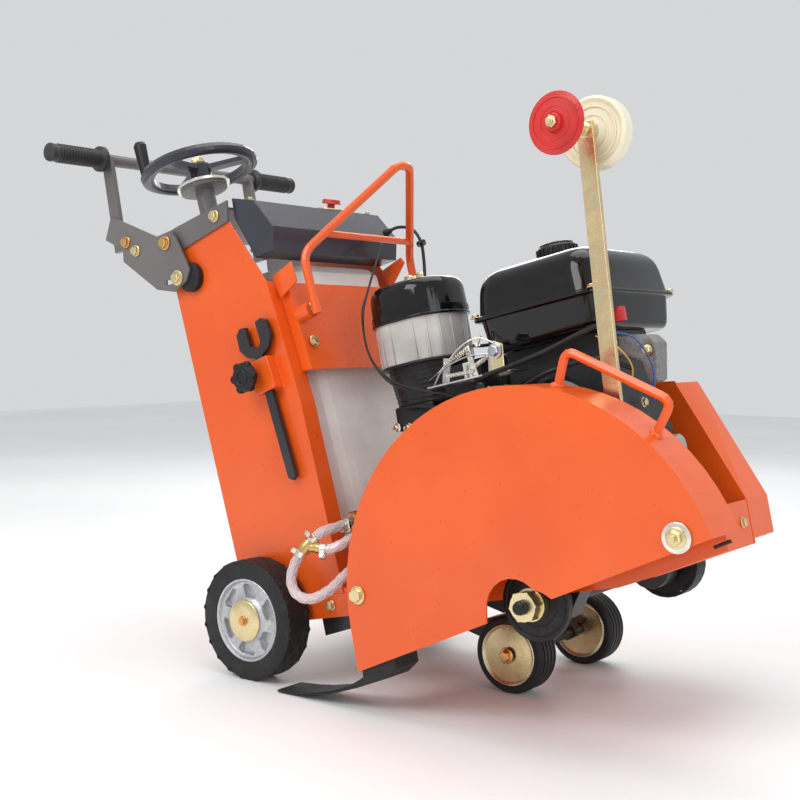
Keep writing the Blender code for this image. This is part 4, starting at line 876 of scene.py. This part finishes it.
def engine_details():
    bars = []
    for k in range(9):
        z = 0.100 + 0.018 * k
        bars.append(brick((0.352, 0.031, z), (0.150, 0.158, 0.0045), Matrix.Rotation(0.0, 4, "Y"), 0.001))
    settle(join(bars), "cylinder_fins", "chassis", "casting")
    centre = Vector((CRANK[0], -0.0895, CRANK[1] + 0.015))
    slots = []
    for k in range(30):
        a = 2 * math.pi * k / 30
        slot_bar = brick((0.047, 0, 0), (0.030, 0.0032, 0.0024), Matrix.Identity(4), 0.0008)
        slot_bar.data.transform(Matrix.Translation(centre) @ Matrix.Rotation(a, 4, "Y") @ Matrix.Rotation(
            math.radians(90), 4, "X"))
        slots.append(slot_bar)
    settle(join(slots), "starter_grille", "chassis", "black_plastic")
    for k in range(3):
        a = math.radians(20 + 120 * k)
        spot = Vector((CRANK[0] + 0.088 * math.cos(a), -0.0868, CRANK[1] + 0.015 + 0.088 * math.sin(a)))
        hex_bolt("starter_bolt_%d" % k, spot, -Y, 0.010, "chassis", "zinc", 1.5)
    plug = lathe([(0.0105, 0), (0.0105, 0.010), (0.0070, 0.013), (0.0085, 0.020), (0.0085, 0.038),
                  (0.0060, 0.042)], 20,
                 (0.284, 0.030, 0.220), (-0.9, 0, 0.35))
    settle(plug, "plug_cap", "chassis", "rubber")
    lead = smooth_route([(0.246, 0.030, 0.236), (0.226, 0.028, 0.262), (0.232, -0.010, 0.292),
                         (0.262, -0.062, 0.300),
                         (0.330, -0.092, 0.296), (0.420, -0.090, 0.270), (0.455, -0.080, 0.262)], 5)
    settle(pipe(lead, 0.0034, 2), "plug_lead", "chassis", "rubber", 60)
    shield = []
    for k in range(6):
        shield.append(brick((0.292 + 0.021 * k, 0.1148, 0.328), (0.008, 0.0022, 0.052), Matrix.Identity(4), 0.0008))
    settle(join(shield), "muffler_guard", "chassis", "iron")
    tail = lathe([(0.011, 0), (0.011, 0.024), (0.009, 0.024), (0.009, 0.002)], 24, (0.350, 0.1132, 0.345),
                 (0.4, 1, 0))
    settle(tail, "exhaust_tail", "chassis", "iron")
    for k, (y, z) in enumerate(((-0.030, 0.060), (0.090, 0.060), (-0.030, 0.215), (0.090, 0.215), (0.030, 0.240))):
        hex_bolt("crankcase_bolt_%d" % k, (0.6535 if z < 0.2 else 0.6510, y, z), X, 0.011, "chassis", "zinc", 1.3)
    drain = lathe([(0.0100, 0), (0.0100, 0.003), (0.0080, 0.004), (0.0080, 0.012), (0.005, 0.013)], 6,
                  (0.6525, 0.030, 0.078),
                  X)
    settle(drain, "drain_plug", "chassis", "zinc")
    teeth = []
    for k in range(14):
        a = 2 * math.pi * k / 14
        teeth.append(brick(Vector((0.6705, 0.075 + 0.0192 * math.cos(a), 0.1645 + 0.0192 * math.sin(a))),
                           (0.013, 0.0026, 0.0026), Matrix.Identity(4), 0.0006))
    settle(join(teeth), "oil_cap_ribs", "oil_cap", "grey_plastic")
    for name, finish, shift in (("stop_lead", "black_plastic", 0.0), ("alert_lead", "rubber", 0.006)):
        route = smooth_route([(0.430, -0.074 - shift, 0.262), (0.400, -0.100 - shift, 0.300),
                              (0.352, -0.108 - shift, 0.318),
                              (0.290, -0.112, 0.340 + shift), (0.250, -0.108, 0.395),
                              (0.226, -0.080, 0.462 + shift),
                              (0.200, -0.020, 0.520), (0.176, 0.050, 0.585), (0.158, 0.100, 0.628 + shift),
                              (0.142, 0.120, 0.640)], 5)
        settle(pipe(route, 0.0019, 2), name, "chassis", finish, 60)
    for name, finish, points in (
            ("coil_lead", "yellow_wire", [(0.640, -0.060, 0.345), (0.672, -0.062, 0.322), (0.684, -0.050, 0.292),
                                          (0.672, -0.040, 0.262)]),
            ("sensor_lead", "blue_wire", [(0.655, -0.050, 0.350), (0.694, -0.046, 0.330), (0.706, -0.030, 0.286),
                                          (0.694, -0.020, 0.236)])):
        settle(pipe(smooth_route(points, 6), 0.0013, 2), name, "chassis", finish, 60)
    clip = lathe([(0.0088, -0.003), (0.0092, 0), (0.0088, 0.003)], 20, (0.207, 0.149, 0.612), (0.3, -0.1, -1))
    settle(clip, "cable_tie", "chassis", "black_plastic")


# ---- guide arm and tools --------------------------------------------------------------------------
def guide_fittings():
    tip = Vector((GUIDE_TIP[0], 0, GUIDE_TIP[1]))
    hex_bolt("guide_axle_nut_right", tip - Y * 0.2385, -Y, 0.015, "guide_arm", "zinc", 1.25, 0.006)
    hex_bolt("guide_axle_nut_inner", tip - Y * 0.1543, -Y, 0.015, "guide_arm", "zinc", 1.35)
    hex_bolt("guide_axle_bolt_left", tip - Y * 0.1015, Y, 0.015, "guide_arm", "zinc", 1.35)
    for k, (r, t) in enumerate(((0.0345, 0.0011), (0.0225, 0.0011), (0.0160, 0.0014))):
        for side, y in (("out", -0.2335), ("in", -0.2265)):
            settle(ring(tip + Y * y, Y, r, t, 48, 8), "pointer_ring_%s_%d" % (side, k), "pointer_wheel", "red",
                   60)
    for k, r in enumerate((0.0365, 0.0245)):
        settle(ring(tip + Y * -0.1320, Y, r, 0.0014, 48, 8), "guide_wheel_ring_%d" % k, "guide_wheel", "nylon",
               60)
    spacer = lathe([(0.0080, 0), (0.0080, 0.060)], 24, tip - Y * 0.2155, Y)
    settle(spacer, "pointer_spacer", "guide_arm", "zinc")
    foot = Vector((0.685, GUIDE_Y + 0.0043, 0.085))
    hex_bolt("guide_pivot_nut", foot, Y, 0.017, "guide_arm", "zinc", 1.4)


def wrench_fittings():
    spot = Vector((0.066, -0.2240, 0.397))
    lobes = []
    for k in range(6):
        a = 2 * math.pi * k / 6
        lobes.append(lathe([(0.0072, 0), (0.0078, 0.002), (0.0078, 0.008), (0.0065, 0.010)], 16,
                           spot + Vector((0.0205 * math.cos(a), 0.0115, 0.0205 * math.sin(a))), -Y))
    settle(join(lobes), "wrench_knob_lobes", "wrench_knob", "black_plastic", 40)
    settle(ring(spot + Y * 0.0003, Y, 0.0115, 0.0022, 32, 8), "wrench_knob_eye", "wrench_knob", "black_plastic",
           60)


def hoses():
    def braid(name, route, radius):
        route = [Vector(p) for p in route]
        frames, side = [], Vector((0, 0, 1))
        for i, spot in enumerate(route):
            ahead = route[min(i + 1, len(route) - 1)] - route[max(i - 1, 0)]
            ahead.normalize()
            side = (side - ahead * side.dot(ahead)).normalized()
            frames.append((spot, side.copy(), ahead.cross(side)))
        threads = []
        for hand in (-1, 1):
            for start in range(4):
                points, travelled = [], 0.0
                for i in range(len(frames)):
                    if i:
                        travelled += (frames[i][0] - frames[i - 1][0]).length
                    a = hand * travelled / 0.0105 + start * math.pi / 2
                    spot, u, v = frames[i]
                    points.append(spot + (u * math.cos(a) + v * math.sin(a)) * radius)
                threads.append(pipe(points, 0.00055, 1))
        settle(join(threads), name, "chassis", "thread", 80)

    loop = [(0.187, -0.1605, 0.128), (0.186, -0.180, 0.128), (0.174, -0.207, 0.124), (0.157, -0.224, 0.108),
            (0.135, -0.234, 0.086), (0.121, -0.238, 0.058), (0.127, -0.236, 0.033), (0.150, -0.228, 0.023),
            (0.178, -0.212, 0.033), (0.199, -0.194, 0.052), (0.213, -0.170, 0.064), (0.222, -0.148, 0.060),
            (0.227, -0.137, 0.048), (0.227, -0.137, 0.026)]
    branch = [(0.172, -0.2180, 0.100), (0.186, -0.212, 0.096), (0.204, -0.200, 0.100), (0.218, -0.180, 0.108),
              (0.230, -0.155, 0.104), (0.243, -0.130, 0.086), (0.251, -0.113, 0.056), (0.251, -0.113, 0.026)]
    braid("loop_braid", smooth_route(loop, 16), 0.0079)
    braid("branch_braid", smooth_route(branch, 16), 0.0079)
    clamps = (("valve_clamp", (0.1868, -0.168, 0.128), (0, -1, 0)),
              ("tee_clamp_top", (0.1640, -0.218, 0.1165), (-0.7, -0.5, -0.6)),
              ("tee_clamp_low", (0.1440, -0.231, 0.0965), (-0.6, -0.25, -0.7)),
              ("branch_clamp", (0.180, -0.215, 0.0975), (1, 0.4, -0.2)))
    for name, spot, way in clamps:
        band = lathe([(0.0087, -0.0045), (0.0095, -0.0045), (0.0095, 0.0045), (0.0087, 0.0045)], 32, spot, way,
                     closed=True)
        lug = brick((0.0125, 0, 0), (0.008, 0.012, 0.008), Matrix.Identity(4), 0.001)
        lug.data.transform(Matrix.Translation(spot) @ turn_to(way))
        screw = lathe([(0.0028, -0.010), (0.0028, 0.010)], 12, (0, 0, 0), Y)
        screw.data.transform(Matrix.Translation(spot) @ turn_to(way) @ Matrix.Translation((0.0125, 0, 0)))
        settle(join([band, lug, screw]), name, "chassis", "cream_zinc")
    tee = [lathe([(0.0098, -0.010), (0.0104, -0.006), (0.0104, 0.006), (0.0098, 0.010)], 24,
                 (0.1535, -0.2255, 0.1055),
                 (-0.62, -0.4, -0.65)),
           lathe([(0.0080, 0), (0.0080, 0.016), (0.0092, 0.018), (0.0092, 0.022)], 24, (0.1535, -0.2255, 0.1055),
                 (1, 0.4, -0.25))]
    settle(join(tee), "hose_tee", "chassis", "brass")
    valve = lathe([(0.0130, 0), (0.0145, 0.002), (0.0145, 0.012), (0.0130, 0.014)], 8, (0.187, -0.1240, 0.128), -Y)
    settle(valve, "valve_body", "chassis", "brass")


# ---- light and floor --------------------------------------------------------------------
def light(name, place, aim, size, power, tint=(1, 1, 1)):
    lamp = bpy.data.lights.new(name, "AREA")
    lamp.shape = "RECTANGLE"
    lamp.size, lamp.size_y = size
    lamp.energy = power
    lamp.color = tint
    obj = bpy.data.objects.new(name, lamp)
    obj.location = place
    obj.rotation_euler = (Vector(aim) - Vector(place)).to_track_quat("-Z", "Y").to_euler()
    bpy.context.scene.collection.objects.link(obj)


def studio():
    deselect()
    bpy.ops.mesh.primitive_plane_add(size=14, location=(0, 0, 0))
    floor = bpy.context.object
    floor.name = "floor"
    f = Finish("studio_floor")
    f.feed(Base_Color=f.mix(f.noise(1.2).step(0.3, 0.7), (0.84, 0.84, 0.84), (0.88, 0.88, 0.875)))
    f.feed(Roughness=f.noise(6.0) * 0.1 + 0.55)
    floor.data.materials.append(f.material)
    light("key", (-0.6, -3.2, 2.9), (0.0, 0.0, 0.35), (2.2, 1.6), 62, (1.0, 0.985, 0.96))
    light("fill", (3.2, -1.4, 1.8), (0.1, 0.0, 0.4), (2.0, 2.0), 26, (0.95, 0.98, 1.0))
    light("top", (0.1, 0.4, 3.2), (0.0, 0.0, 0.3), (2.6, 2.6), 44)
    light("back", (-1.8, 2.8, 2.0), (0.0, 0.0, 0.5), (1.6, 1.6), 26)
    world = bpy.data.worlds.new("studio")
    bpy.context.scene.world = world
    world.use_nodes = True
    world.node_tree.nodes["Background"].inputs["Color"].default_value = (0.93, 0.94, 0.96, 1)
    world.node_tree.nodes["Background"].inputs["Strength"].default_value = 0.72


dress_frame()
wheels()
for part in (guard_fittings, shaft_fittings, chassis_fittings, tower_fittings, tank_fittings, console_fittings,
             head_fittings, grips, air_cleaner, fuel_tank_fittings, governor, engine_details, guide_fittings,
             wrench_fittings, hoses):
    part()
studio()
bpy.context.scene.view_settings.view_transform = "Standard"
